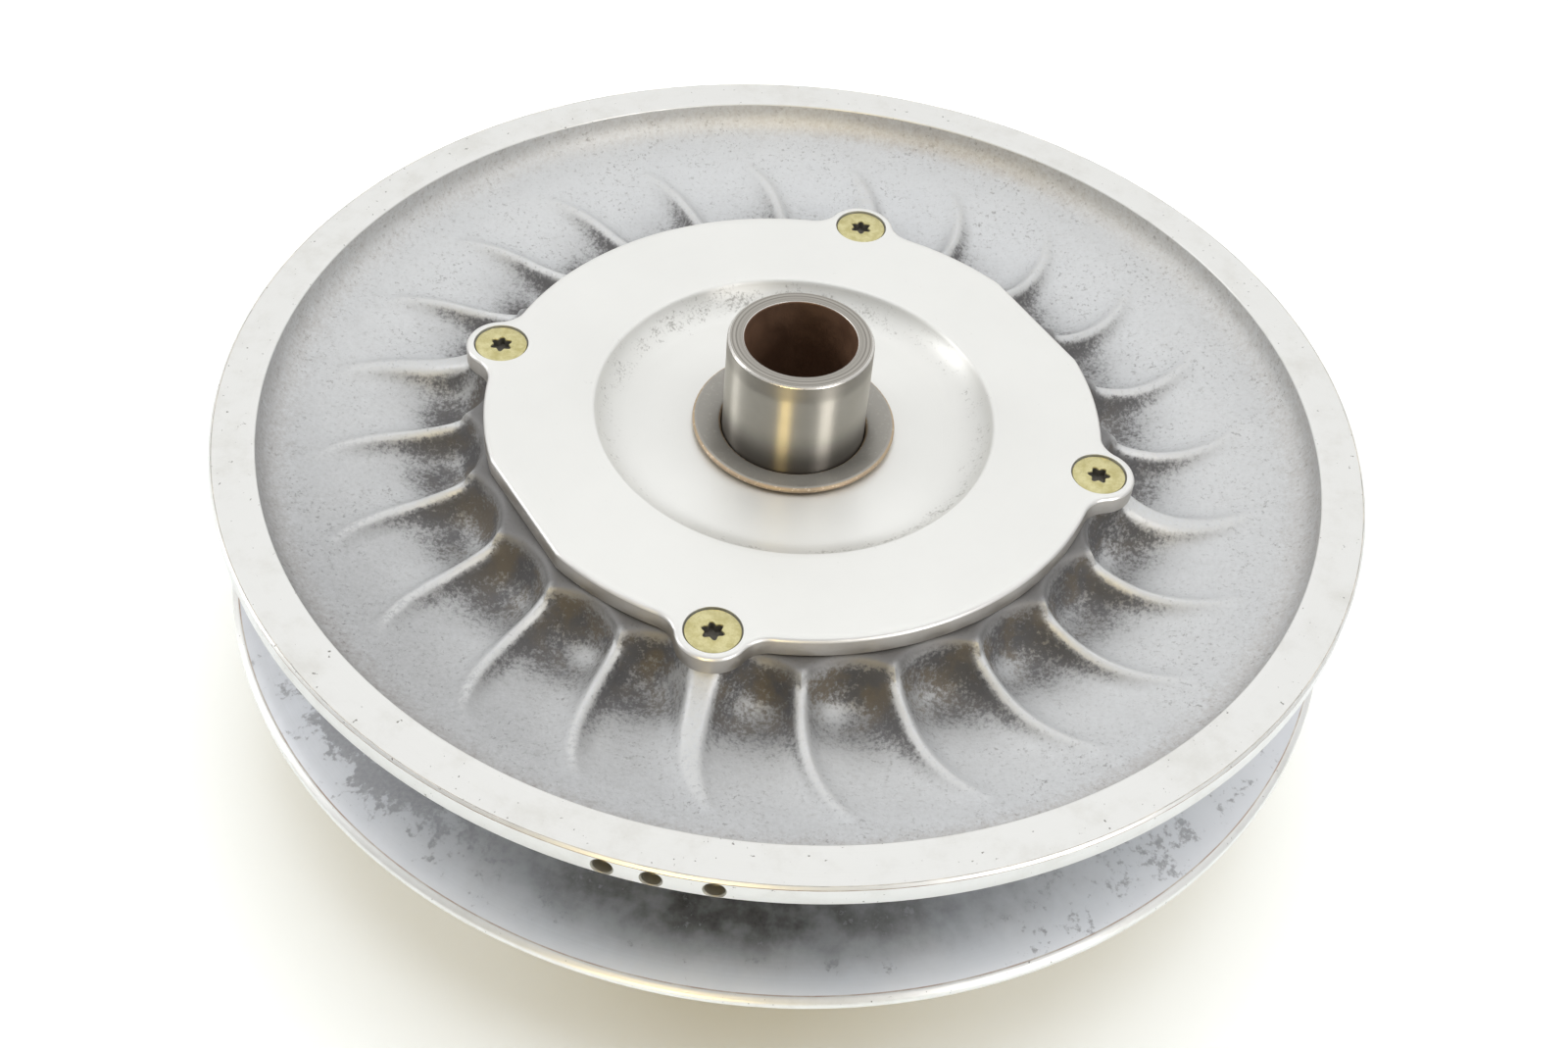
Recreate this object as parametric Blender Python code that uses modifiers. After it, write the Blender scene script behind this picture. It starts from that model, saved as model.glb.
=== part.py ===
"""Driven pulley of a belt-driven continuously variable transmission, in metres with +Z up.

The post stands on its flange at z = 0, and the fixed sheave is bolted to that flange. The moving sheave
sits above it in its closed place, and screws itself up the post along three helical slots as the belt
is pulled in.
"""

import math

import bmesh
import bpy
from mathutils import Matrix, Vector

# Clearances.
SEAT_GAP = 0.0003
RUN_GAP = 0.0003
HOUSING_GAP = 0.0010
HELIX_GAP = 0.0015
SLOT_GAP = 0.0009
SPRING_GAP = 0.0020
SPIDER_GAP = 0.0045
CUP_GAP = 0.0012
BUSHING_STOP_GAP = 0.0010

# Belt faces of the two sheaves.
SHEAVE_RADIUS = 0.1360
FACE_ANGLE = math.radians(13.0)
FACE_GAP = 0.0010

# Moving sheave.
RIM_HEIGHT = 0.0053
RIM_WIDTH = 0.0104
RIM_CHAMFER = 0.0008
FACE_EDGE_CHAMFER = 0.0032
WEB_THICKNESS = 0.0028
RIM_FILLET = 0.0065
HUB_WALL_INSET = 0.0021
HUB_DRAFT = 0.0025
BOSS_SET_DOWN = 0.0003
FIN_COUNT = 24
FIN_FIRST_ANGLE = math.radians(5.15)
FIN_SWEEP = math.radians(5.4)
FIN_SWEEP_POWER = 3.3
FIN_RIM_GAP = 0.0130
FIN_ROOT_WIDTH = 0.0036
FIN_TIP_WIDTH = 0.0016
FIN_SET_DOWN = 0.0006
FIN_SHOULDER = 0.0080
FIN_SHOULDER_HEIGHT = 0.0062
FIN_TIP_HEIGHT = 0.0004
BALANCE_HOLE_RADIUS = 0.0021
BALANCE_HOLE_DEPTH = 0.0040
BALANCE_HOLE_DROP = 0.0031
BALANCE_HOLE_ANGLES = [math.radians(angle) for angle in (257.8, 262.0, 267.3)]

# Fixed sheave and the housing on its back.
FIXED_WEB_THICKNESS = 0.0040
FIXED_RIM_CHAMFER = 0.0008
HOUSING_WALL = 0.0050
HOUSING_FLOOR = 0.0055
RIB_COUNT = 12
RIB_THICKNESS = 0.0050
RIB_RIM_GAP = 0.0165
RIB_DEPTH = 0.0240

# Helix cover.
COVER_MARGIN = 0.0093
COVER_THICKNESS = 0.0050
COVER_PROUD = 0.0005
COVER_FLOOR = 0.0050
RECESS_LAND = 0.0058
RECESS_DEPTH = 0.0058
RECESS_FILLET = 0.0055
FLAT_DEPTH = 0.0019
FLAT_ANGLES = [math.radians(angle) for angle in (35.0, 215.0)]
SCREW_COUNT = 4
SCREW_FIRST_ANGLE = math.radians(80.0)
LOBE_RADIUS = 0.0084
LOBE_FILLET = 0.0070
HELIX_WALL = 0.0052
HELIX_ANGLE = math.radians(48.0)
HELIX_ROOF = 0.0022
HELIX_END_WALL = 0.0040

# Countersunk screws: those of the cover and those under the post's flange.
SCREW_GAP = 0.0003
SCREW_SINK = 0.0003
SCREW_HEAD_RADIUS = 0.0063
SCREW_HEAD_LAND = 0.0005
SCREW_SHANK_RADIUS = 0.0028
COVER_SCREW_LENGTH = 0.0150
LOBE_SOCKET_RADIUS = 0.0024
LOBE_SOCKET_WAVE = 0.0004
HEX_SOCKET_RADIUS = 0.0023
SOCKET_DEPTH = 0.0022
FLANGE_SCREW_COUNT = 6
FLANGE_SCREW_OFFSET = 0.00985

# Post.
POST_RADIUS = 0.01715
POST_WALL = 0.0040
POST_CHAMFER = 0.0008
POST_END_MARGIN = 0.0011
FLANGE_EDGE = 0.0027
FLANGE_THICKNESS = 0.0050

# Bushings of the moving sheave, and the bosses that hold them.
BUSHING_WALL = 0.0025
BUSHING_FLANGE_WIDTH = 0.00435
BUSHING_FLANGE = 0.0021
BUSHING_LIP = 0.0012
BOSS_WALL = 0.00425

# Cup that hangs from the moving sheave round the spring.
CUP_WALL = 0.0040
CUP_FLOOR = 0.0040
CUP_FLANGE_WIDTH = 0.0065
CUP_FLANGE = 0.0030
CUP_BOSS_LENGTH = 0.0155

# Roller spider on the post.
SPIDER_PLATE = 0.0050
SPIDER_WALL = 0.0065
SPIDER_RING_HEIGHT = 0.0130
KEY_WIDTH = 0.0040
KEY_DEPTH = 0.0016
KEY_END_WALL = 0.0005
RETAINER_THICKNESS = 0.0015
RETAINER_WIDTH = 0.0050
RETAINER_DEPTH = 0.0010
RETAINER_OPENING = math.radians(24.0)

# Rollers and their pins.
ROLLER_COUNT = 3
ROLLER_FIRST_ANGLE = math.radians(30.0)
ROLLER_RADIUS = 0.0090
ROLLER_WIDTH = 0.0074
ROLLER_CHAMFER = 0.0006
ROLLER_BUSH_WALL = 0.0013
PIN_RADIUS = 0.0040
PIN_HEAD_RADIUS = 0.0056
PIN_HEAD = 0.0020
PIN_TAIL = 0.0015

# Spring and its slip washers.
SHIFT_TRAVEL = 0.0240
WIRE_DIAMETER = 0.0048
SPRING_TURNS = 3.6
SPRING_END_TURNS = 0.8
SPRING_END_GAP = 0.0006
SPRING_SPARE = 0.0005
WASHER_THICKNESS = 0.0020
WASHER_MARGIN = 0.0015

# How finely round shapes are cut.
SHEAVE_STEPS = 64
ROUND_STEPS = 36
SMALL_STEPS = 16
COIL_STEPS = 24
FILLET_STEPS = 4
FIN_STATIONS = 7
SLOT_SIDE_STEPS = 8
LOBE_SOCKET_STEPS = 36
SHARP_ANGLE = math.radians(35.0)
OVERLAP = 0.0010
MERGE = 0.00001

# Radii, from the post outwards.
SLOPE = math.tan(FACE_ANGLE)
POST_BORE = POST_RADIUS - POST_WALL
FLANGE_SCREW_CIRCLE = POST_RADIUS + FLANGE_SCREW_OFFSET
FLANGE_RADIUS = FLANGE_SCREW_CIRCLE + SCREW_HEAD_RADIUS + FLANGE_EDGE
RUN_RADIUS = POST_RADIUS + RUN_GAP
BUSHING_RADIUS = RUN_RADIUS + BUSHING_WALL
BUSHING_FLANGE_RADIUS = BUSHING_RADIUS + BUSHING_FLANGE_WIDTH
BOSS_BORE = BUSHING_RADIUS + SEAT_GAP
BOSS_RADIUS = BOSS_BORE + BOSS_WALL
COIL_RADIUS = BOSS_RADIUS + SPRING_GAP + WIRE_DIAMETER / 2
SPIDER_BORE = COIL_RADIUS + WIRE_DIAMETER / 2 + SPIDER_GAP
SPIDER_RADIUS = SPIDER_BORE + SPIDER_WALL
HELIX_BORE = SPIDER_RADIUS + HELIX_GAP
HELIX_RADIUS = HELIX_BORE + HELIX_WALL
ROLLER_START = SPIDER_RADIUS + SEAT_GAP
ROLLER_END = ROLLER_START + ROLLER_WIDTH
PIN_END = ROLLER_END + SEAT_GAP + PIN_HEAD
CUP_BORE = max(math.hypot(PIN_END, PIN_HEAD_RADIUS), math.hypot(ROLLER_END, ROLLER_RADIUS)) + CUP_GAP
CUP_RADIUS = CUP_BORE + CUP_WALL
SHEAVE_BORE = CUP_RADIUS + SEAT_GAP
CUP_FLANGE_RADIUS = CUP_RADIUS + CUP_FLANGE_WIDTH
HOUSING_BORE = CUP_RADIUS + HOUSING_GAP
HOUSING_RADIUS = HOUSING_BORE + HOUSING_WALL
SPIGOT_RADIUS = CUP_BORE - RUN_GAP
RECESS_RADIUS = SPIGOT_RADIUS - RECESS_LAND
COVER_RADIUS = CUP_FLANGE_RADIUS + COVER_MARGIN
SCREW_CIRCLE = COVER_RADIUS
RIM_INNER = SHEAVE_RADIUS - RIM_WIDTH
FIN_TIP_RADIUS = RIM_INNER - FIN_RIM_GAP
SLOT_RADIUS = ROLLER_RADIUS + SLOT_GAP
HELIX_MIDDLE = (HELIX_BORE + HELIX_RADIUS) / 2

# Heights, from the flange upwards.
HOUSING_BOTTOM = FLANGE_THICKNESS + SEAT_GAP
HOUSING_FLOOR_TOP = HOUSING_BOTTOM + HOUSING_FLOOR
CUP_BOTTOM = HOUSING_FLOOR_TOP + SEAT_GAP
CUP_FLOOR_TOP = CUP_BOTTOM + CUP_FLOOR
LOWER_WASHER = CUP_FLOOR_TOP + SEAT_GAP
SPRING_BOTTOM = LOWER_WASHER + WASHER_THICKNESS + SEAT_GAP
SPRING_SOLID = WIRE_DIAMETER * (SPRING_TURNS + 1)
SPRING_TOP = SPRING_BOTTOM + SPRING_SOLID + SHIFT_TRAVEL + SPRING_SPARE
UPPER_WASHER = SPRING_TOP + SEAT_GAP
SPIDER_BOTTOM = UPPER_WASHER + WASHER_THICKNESS + SEAT_GAP
SPIDER_TOP = SPIDER_BOTTOM + SPIDER_PLATE
ROLLER_HEIGHT = (SPIDER_BOTTOM + SPIDER_TOP) / 2
RETAINER_BOTTOM = SPIDER_TOP + SEAT_GAP
RETAINER_TOP = RETAINER_BOTTOM + RETAINER_THICKNESS
COVER_BOSS_BOTTOM = RETAINER_TOP + BUSHING_STOP_GAP
SPIGOT_BOTTOM = ROLLER_HEIGHT + SLOT_RADIUS + HELIX_ROOF
RECESS_FLOOR = SPIGOT_BOTTOM + COVER_FLOOR
COVER_TOP = RECESS_FLOOR + RECESS_DEPTH
COVER_SEAT = COVER_TOP - COVER_THICKNESS
HELIX_BOTTOM = ROLLER_HEIGHT - SHIFT_TRAVEL - SLOT_RADIUS - HELIX_END_WALL
HUB_TOP = COVER_SEAT - SEAT_GAP
CUP_SEAT = HUB_TOP - CUP_FLANGE - SEAT_GAP
RIM_TOP = COVER_TOP - COVER_PROUD
RIM_BOTTOM = RIM_TOP - RIM_HEIGHT
BUSHING_FLANGE_BOTTOM = RECESS_FLOOR + SEAT_GAP
BUSHING_FLANGE_TOP = BUSHING_FLANGE_BOTTOM + BUSHING_FLANGE
POST_TOP = BUSHING_FLANGE_TOP + SHIFT_TRAVEL + POST_END_MARGIN


def moving_face(radius):
    """Height of the moving sheave's belt face."""
    return RIM_BOTTOM - FACE_EDGE_CHAMFER - (SHEAVE_RADIUS - FACE_EDGE_CHAMFER - radius) * SLOPE


def moving_web(radius):
    """Height of the moving sheave's cast side, above its belt face."""
    return moving_face(radius) + WEB_THICKNESS


def fixed_face(radius):
    """Height of the fixed sheave's belt face."""
    return moving_face(HOUSING_RADIUS) - FACE_GAP - (radius - HOUSING_RADIUS) * SLOPE


def fixed_back(radius):
    """Height of the fixed sheave's cast side, below its belt face."""
    return fixed_face(radius) - FIXED_WEB_THICKNESS


def polar(radius, angle):
    return radius * math.cos(angle), radius * math.sin(angle)


def arc(centre, radius, start, end, steps):
    """Points from one angle to another about a centre, both ends included."""
    angles = [start + (end - start) * i / steps for i in range(steps + 1)]
    return [(centre[0] + radius * math.cos(a), centre[1] + radius * math.sin(a)) for a in angles]


def new_object(name, mesh, collection):
    made = bpy.data.objects.new(name, mesh)
    collection.objects.link(made)
    if collection is CUTTERS:
        made.hide_render = True
        made.display_type = "WIRE"
    return made


def turned(name, profile, steps, collection):
    """A solid turned about Z from (radius, height) points that run down the outer side."""
    closed = profile[0][0] > 0
    count = len(profile)
    edges = [(i, (i + 1) % count) for i in range(count if closed else count - 1)]
    mesh = bpy.data.meshes.new(name)
    mesh.from_pydata([(radius, 0.0, height) for radius, height in profile], edges, [])
    made = new_object(name, mesh, collection)
    screw = made.modifiers.new("turn", "SCREW")
    screw.angle = 2 * math.pi
    screw.steps = steps
    screw.render_steps = steps
    screw.use_merge_vertices = True
    screw.merge_threshold = MERGE
    return made


def evaluated_mesh(source):
    bpy.context.view_layer.update()
    graph = bpy.context.evaluated_depsgraph_get()
    return bpy.data.meshes.new_from_object(source.evaluated_get(graph))


def extruded(name, outline, low, high, collection):
    """A flat outline in X and Y, given its thickness along Z."""
    curve = bpy.data.curves.new(name, "CURVE")
    curve.dimensions = "2D"
    curve.fill_mode = "BOTH"
    curve.extrude = (high - low) / 2
    spline = curve.splines.new("POLY")
    spline.points.add(len(outline) - 1)
    for point, (x, y) in zip(spline.points, outline):
        point.co = (x, y, 0.0, 1.0)
    spline.use_cyclic_u = True
    flat = new_object(name + "_outline", curve, collection)
    mesh = evaluated_mesh(flat)
    bpy.data.objects.remove(flat)
    edit = bmesh.new()
    edit.from_mesh(mesh)
    bmesh.ops.remove_doubles(edit, verts=edit.verts, dist=MERGE)
    bmesh.ops.recalc_face_normals(edit, faces=edit.faces)
    bmesh.ops.translate(edit, verts=edit.verts, vec=(0.0, 0.0, (low + high) / 2))
    edit.to_mesh(mesh)
    edit.free()
    return new_object(name, mesh, collection)


def settle(part):
    """Applies the modifiers and shades the round faces smooth, with sharp edges kept."""
    mesh = evaluated_mesh(part)
    part.modifiers.clear()
    part.data = mesh
    mesh.shade_smooth()
    mesh.set_sharp_from_angle(angle=SHARP_ANGLE)
    return part


def boolean(part, other, operation):
    modifier = part.modifiers.new(other.name, "BOOLEAN")
    modifier.operation = operation
    modifier.object = other


def repeat_round(part, count, first_angle):
    """Copies a mesh round Z, with the first copy turned by first_angle."""
    settle(part)
    edit = bmesh.new()
    for i in range(count):
        turn = Matrix.Rotation(first_angle + 2 * math.pi * i / count, 4, "Z")
        copy = part.data.copy()
        copy.transform(turn)
        edit.from_mesh(copy)
        bpy.data.meshes.remove(copy)
    edit.to_mesh(part.data)
    edit.free()
    return part


def material(name, colour, roughness, metallic):
    made = bpy.data.materials.new(name)
    made.use_nodes = True
    shader = made.node_tree.nodes["Principled BSDF"]
    shader.inputs["Base Color"].default_value = (*colour, 1.0)
    shader.inputs["Roughness"].default_value = roughness
    shader.inputs["Metallic"].default_value = metallic
    return made


def finish(part, look, parent):
    settle(part)
    part.data.materials.clear()
    part.data.materials.append(look)
    part.parent = parent
    return part


def screw_mesh(name, length, socket_outline):
    """A countersunk screw with its head's top face at z = 0 and its shank down -Z."""
    cone = SCREW_HEAD_RADIUS - SCREW_SHANK_RADIUS
    profile = [
        (0.0, 0.0),
        (SCREW_HEAD_RADIUS, 0.0),
        (SCREW_HEAD_RADIUS, -SCREW_HEAD_LAND),
        (SCREW_SHANK_RADIUS, -SCREW_HEAD_LAND - cone),
        (SCREW_SHANK_RADIUS, -length),
        (0.0, -length),
    ]
    body = turned(name, profile, SMALL_STEPS, CUTTERS)
    socket = extruded(name + "_socket", socket_outline, -SOCKET_DEPTH, OVERLAP, CUTTERS)
    boolean(body, socket, "DIFFERENCE")
    return settle(body).data


def screw_pocket(name, length, circle, count, first_angle):
    """Cutter for countersunk holes whose heads sink below z = 0, round a circle."""
    head = SCREW_HEAD_RADIUS + SCREW_GAP
    shank = SCREW_SHANK_RADIUS + SCREW_GAP
    land = SCREW_SINK + SCREW_HEAD_LAND + SCREW_GAP
    profile = [
        (0.0, OVERLAP),
        (head, OVERLAP),
        (head, -land),
        (shank, -land - (head - shank)),
        (shank, -SCREW_SINK - length - SCREW_GAP),
        (0.0, -SCREW_SINK - length - SCREW_GAP),
    ]
    pocket = settle(turned(name, profile, SMALL_STEPS, CUTTERS))
    half_step = Matrix.Rotation(math.pi / SMALL_STEPS, 4, "Z")
    pocket.data.transform(Matrix.Translation((circle, 0.0, 0.0)) @ half_step)
    return repeat_round(pocket, count, first_angle)


def screw_row(name, mesh, circle, count, first_angle, place, look, parent):
    """Screws round a circle; place puts a screw's head at its height and way up."""
    for i in range(count):
        angle = first_angle + 2 * math.pi * i / count
        screw = new_object(f"{name}_{i + 1}", mesh.copy(), PARTS)
        screw.matrix_world = Matrix.Translation((*polar(circle, angle), 0.0)) @ place
        finish(screw, look, parent)


def six_lobe_outline():
    points = []
    for i in range(LOBE_SOCKET_STEPS):
        angle = 2 * math.pi * i / LOBE_SOCKET_STEPS
        points.append(polar(LOBE_SOCKET_RADIUS + LOBE_SOCKET_WAVE * math.cos(6 * angle), angle))
    return points


def hexagon_outline():
    return [polar(HEX_SOCKET_RADIUS, math.pi * i / 3) for i in range(6)]


def make_post(look):
    """Steel tube with a foot flange, a key seat and a groove for the retaining ring."""
    profile = [
        (POST_BORE + POST_CHAMFER, POST_TOP),
        (POST_RADIUS - POST_CHAMFER, POST_TOP),
        (POST_RADIUS, POST_TOP - POST_CHAMFER),
        (POST_RADIUS, RETAINER_TOP + SEAT_GAP),
        (POST_RADIUS - RETAINER_DEPTH - SEAT_GAP, RETAINER_TOP + SEAT_GAP),
        (POST_RADIUS - RETAINER_DEPTH - SEAT_GAP, RETAINER_BOTTOM - SEAT_GAP),
        (POST_RADIUS, RETAINER_BOTTOM - SEAT_GAP),
        (POST_RADIUS, FLANGE_THICKNESS),
        (FLANGE_RADIUS - POST_CHAMFER, FLANGE_THICKNESS),
        (FLANGE_RADIUS, FLANGE_THICKNESS - POST_CHAMFER),
        (FLANGE_RADIUS, 0.0),
        (POST_BORE + POST_CHAMFER, 0.0),
        (POST_BORE, POST_CHAMFER),
        (POST_BORE, POST_TOP - POST_CHAMFER),
    ]
    post = turned("center_post", profile, ROUND_STEPS, PARTS)
    boolean(post, box_cutter("post_key_seat", *key_corners(SEAT_GAP)), "DIFFERENCE")
    boolean(post, flange_pockets(), "DIFFERENCE")
    return finish(post, look, None)


def flange_screw_length():
    return FLANGE_THICKNESS + SEAT_GAP + HOUSING_FLOOR - SCREW_SINK - SCREW_GAP - OVERLAP


def flange_pockets():
    """The flange screws' holes, opening downwards at z = 0."""
    name = "flange_screw_holes"
    if name in bpy.data.objects:
        return bpy.data.objects[name]
    pockets = screw_pocket(name, flange_screw_length(), FLANGE_SCREW_CIRCLE, FLANGE_SCREW_COUNT, 0.0)
    pockets.data.transform(Matrix.Rotation(math.pi, 4, "X"))
    return pockets


def key_corners(grow):
    """Opposite corners of the key along +X, grown by a gap on every side."""
    low = (POST_RADIUS - KEY_DEPTH - grow, -KEY_WIDTH / 2 - grow, SPIDER_BOTTOM + KEY_END_WALL - grow)
    high = (POST_RADIUS + KEY_DEPTH + grow, KEY_WIDTH / 2 + grow, SPIDER_TOP - KEY_END_WALL + grow)
    return low, high


def rod_mesh(name, radius, length, places):
    """Round rods along Z, each put in its place."""
    edit = bmesh.new()
    for place in places:
        bmesh.ops.create_cone(
            edit,
            cap_ends=True,
            segments=SMALL_STEPS,
            radius1=radius,
            radius2=radius,
            depth=length,
            matrix=place,
        )
    mesh = bpy.data.meshes.new(name)
    edit.to_mesh(mesh)
    edit.free()
    return mesh


def box_mesh(name, low, high):
    edit = bmesh.new()
    size = [b - a for a, b in zip(low, high)]
    centre = [(a + b) / 2 for a, b in zip(low, high)]
    bmesh.ops.create_cube(edit, size=1.0, matrix=Matrix.Translation(centre) @ Matrix.Diagonal((*size, 1.0)))
    mesh = bpy.data.meshes.new(name)
    edit.to_mesh(mesh)
    edit.free()
    return mesh


def box_cutter(name, low, high):
    return new_object(name, box_mesh(name, low, high), CUTTERS)


def make_fixed_sheave(look):
    """Lower sheave: belt face on top, and on its back a deep housing with stiffening ribs."""
    post_hole = POST_RADIUS + SEAT_GAP
    profile = [
        (HOUSING_BORE, fixed_face(HOUSING_RADIUS)),
        (HOUSING_RADIUS, fixed_face(HOUSING_RADIUS)),
        (SHEAVE_RADIUS - FIXED_RIM_CHAMFER, fixed_face(SHEAVE_RADIUS - FIXED_RIM_CHAMFER)),
        (SHEAVE_RADIUS, fixed_face(SHEAVE_RADIUS) - FIXED_RIM_CHAMFER),
        (SHEAVE_RADIUS, fixed_back(SHEAVE_RADIUS)),
        (HOUSING_RADIUS, fixed_back(HOUSING_RADIUS)),
        (HOUSING_RADIUS, HOUSING_BOTTOM),
        (post_hole, HOUSING_BOTTOM),
        (post_hole, HOUSING_FLOOR_TOP),
        (HOUSING_BORE, HOUSING_FLOOR_TOP),
    ]
    sheave = turned("fixed_sheave", profile, SHEAVE_STEPS, PARTS)
    boolean(sheave, back_ribs(), "UNION")
    boolean(sheave, flange_pockets(), "DIFFERENCE")
    return finish(sheave, look, None)


def back_ribs():
    """Radial gussets between the housing and the fixed sheave's back."""
    inner = HOUSING_RADIUS - HOUSING_WALL / 2
    outer = SHEAVE_RADIUS - RIB_RIM_GAP
    sink = FIXED_WEB_THICKNESS / 2
    outline = [
        (inner, fixed_back(HOUSING_RADIUS) - RIB_DEPTH),
        (outer, fixed_back(outer) - OVERLAP),
        (outer, fixed_back(outer) + sink),
        (inner, fixed_back(inner) + sink),
    ]
    ribs = extruded("back_ribs", outline, -RIB_THICKNESS / 2, RIB_THICKNESS / 2, CUTTERS)
    ribs.data.transform(Matrix.Rotation(math.pi / 2, 4, "X"))
    return repeat_round(ribs, RIB_COUNT, math.pi / RIB_COUNT)


def make_moving_sheave(look, parent):
    """Upper sheave: belt face below, cooling fins, screw bosses and a machined rim on top."""
    hub_wall = COVER_RADIUS - HUB_WALL_INSET
    hub_base = hub_wall + HUB_DRAFT
    cup_pocket = CUP_FLANGE_RADIUS + SEAT_GAP
    fillet = min(RIM_FILLET, RIM_TOP - moving_web(RIM_INNER))
    fillet_start = RIM_INNER - fillet
    fillet_centre = (fillet_start, moving_web(fillet_start) + fillet)
    profile = [
        (cup_pocket, HUB_TOP),
        (hub_wall, HUB_TOP),
        (hub_base, moving_web(hub_base)),
        *arc(fillet_centre, fillet, -math.pi / 2, 0.0, FILLET_STEPS),
        (RIM_INNER, RIM_TOP),
        (SHEAVE_RADIUS - RIM_CHAMFER, RIM_TOP),
        (SHEAVE_RADIUS, RIM_TOP - RIM_CHAMFER),
        (SHEAVE_RADIUS, RIM_BOTTOM),
        (SHEAVE_RADIUS - FACE_EDGE_CHAMFER, RIM_BOTTOM - FACE_EDGE_CHAMFER),
        (HOUSING_RADIUS, moving_face(HOUSING_RADIUS)),
        (SHEAVE_BORE, moving_face(HOUSING_RADIUS)),
        (SHEAVE_BORE, CUP_SEAT),
        (cup_pocket, CUP_SEAT),
    ]
    sheave = turned("moving_sheave", profile, SHEAVE_STEPS, PARTS)
    boolean(sheave, cooling_fins(hub_wall), "UNION")
    boolean(sheave, screw_bosses(cup_pocket), "UNION")
    boolean(sheave, cover_pockets(), "DIFFERENCE")
    boolean(sheave, balance_holes(), "DIFFERENCE")
    return finish(sheave, look, parent)


def fin_centre(radius, root):
    """Angle of a fin's centre line, which sweeps back towards its tip."""
    share = max(0.0, (radius - root) / (FIN_TIP_RADIUS - root))
    return FIN_SWEEP * share ** FIN_SWEEP_POWER


def cooling_fins(root):
    """Swept fins from the hub, cut to a height that falls steeply at the hub and then slowly to the tips."""
    start = root - 2 * OVERLAP
    stations = [start + (FIN_TIP_RADIUS - start) * i / FIN_STATIONS for i in range(FIN_STATIONS + 1)]
    left, right = [], []
    for radius in stations:
        share = (radius - start) / (FIN_TIP_RADIUS - start)
        half = (FIN_ROOT_WIDTH + (FIN_TIP_WIDTH - FIN_ROOT_WIDTH) * share) / 2
        left.append(polar(radius, fin_centre(radius, root) + half / radius))
        right.append(polar(radius, fin_centre(radius, root) - half / radius))
    low = moving_web(start) - WEB_THICKNESS / 2
    fins = extruded("cooling_fins", right + left[::-1], low, HUB_TOP, CUTTERS)
    repeat_round(fins, FIN_COUNT, FIN_FIRST_ANGLE)
    tip = FIN_TIP_RADIUS + OVERLAP
    shoulder = root + FIN_SHOULDER
    sink = WEB_THICKNESS / 2
    envelope = [
        (start - OVERLAP, HUB_TOP - FIN_SET_DOWN),
        (root, HUB_TOP - FIN_SET_DOWN),
        (shoulder, moving_web(shoulder) + FIN_SHOULDER_HEIGHT),
        (tip, moving_web(tip) + FIN_TIP_HEIGHT),
        (tip, moving_web(tip) - sink),
        (start - OVERLAP, moving_web(start - OVERLAP) - sink),
    ]
    boolean(fins, turned("fin_envelope", envelope, SHEAVE_STEPS, CUTTERS), "INTERSECT")
    return fins


def screw_bosses(cup_pocket):
    """Round bosses of the hub under the cover's lobes."""
    reach = SCREW_CIRCLE + LOBE_RADIUS
    top = HUB_TOP - BOSS_SET_DOWN
    bottom = moving_face(reach) + WEB_THICKNESS / 4
    middle = Matrix.Translation((SCREW_CIRCLE, 0.0, (top + bottom) / 2))
    mesh = rod_mesh("screw_bosses", LOBE_RADIUS, top - bottom, [middle])
    bosses = new_object("screw_bosses", mesh, CUTTERS)
    repeat_round(bosses, SCREW_COUNT, SCREW_FIRST_ANGLE)
    bore = [
        (0.0, top + OVERLAP),
        (cup_pocket + OVERLAP, top + OVERLAP),
        (cup_pocket + OVERLAP, bottom - OVERLAP),
        (0.0, bottom - OVERLAP),
    ]
    boolean(bosses, turned("boss_trim", bore, SHEAVE_STEPS, CUTTERS), "DIFFERENCE")
    return bosses


def cover_pockets():
    """The cover screws' holes, opening upwards at the cover's top face."""
    name = "cover_screw_holes"
    if name in bpy.data.objects:
        return bpy.data.objects[name]
    pockets = screw_pocket(name, COVER_SCREW_LENGTH, SCREW_CIRCLE, SCREW_COUNT, SCREW_FIRST_ANGLE)
    pockets.data.transform(Matrix.Translation((0.0, 0.0, COVER_TOP)))
    return pockets


def balance_holes():
    """Blind holes drilled into the moving sheave's rim to balance it."""
    height = BALANCE_HOLE_DEPTH + OVERLAP
    places = []
    for angle in BALANCE_HOLE_ANGLES:
        place = Matrix.Rotation(angle, 4, "Z")
        place @= Matrix.Translation((SHEAVE_RADIUS + OVERLAP - height / 2, 0.0, RIM_TOP - BALANCE_HOLE_DROP))
        places.append(place @ Matrix.Rotation(math.pi / 2, 4, "Y"))
    mesh = rod_mesh("balance_holes", BALANCE_HOLE_RADIUS, height, places)
    return new_object("balance_holes", mesh, CUTTERS)


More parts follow.
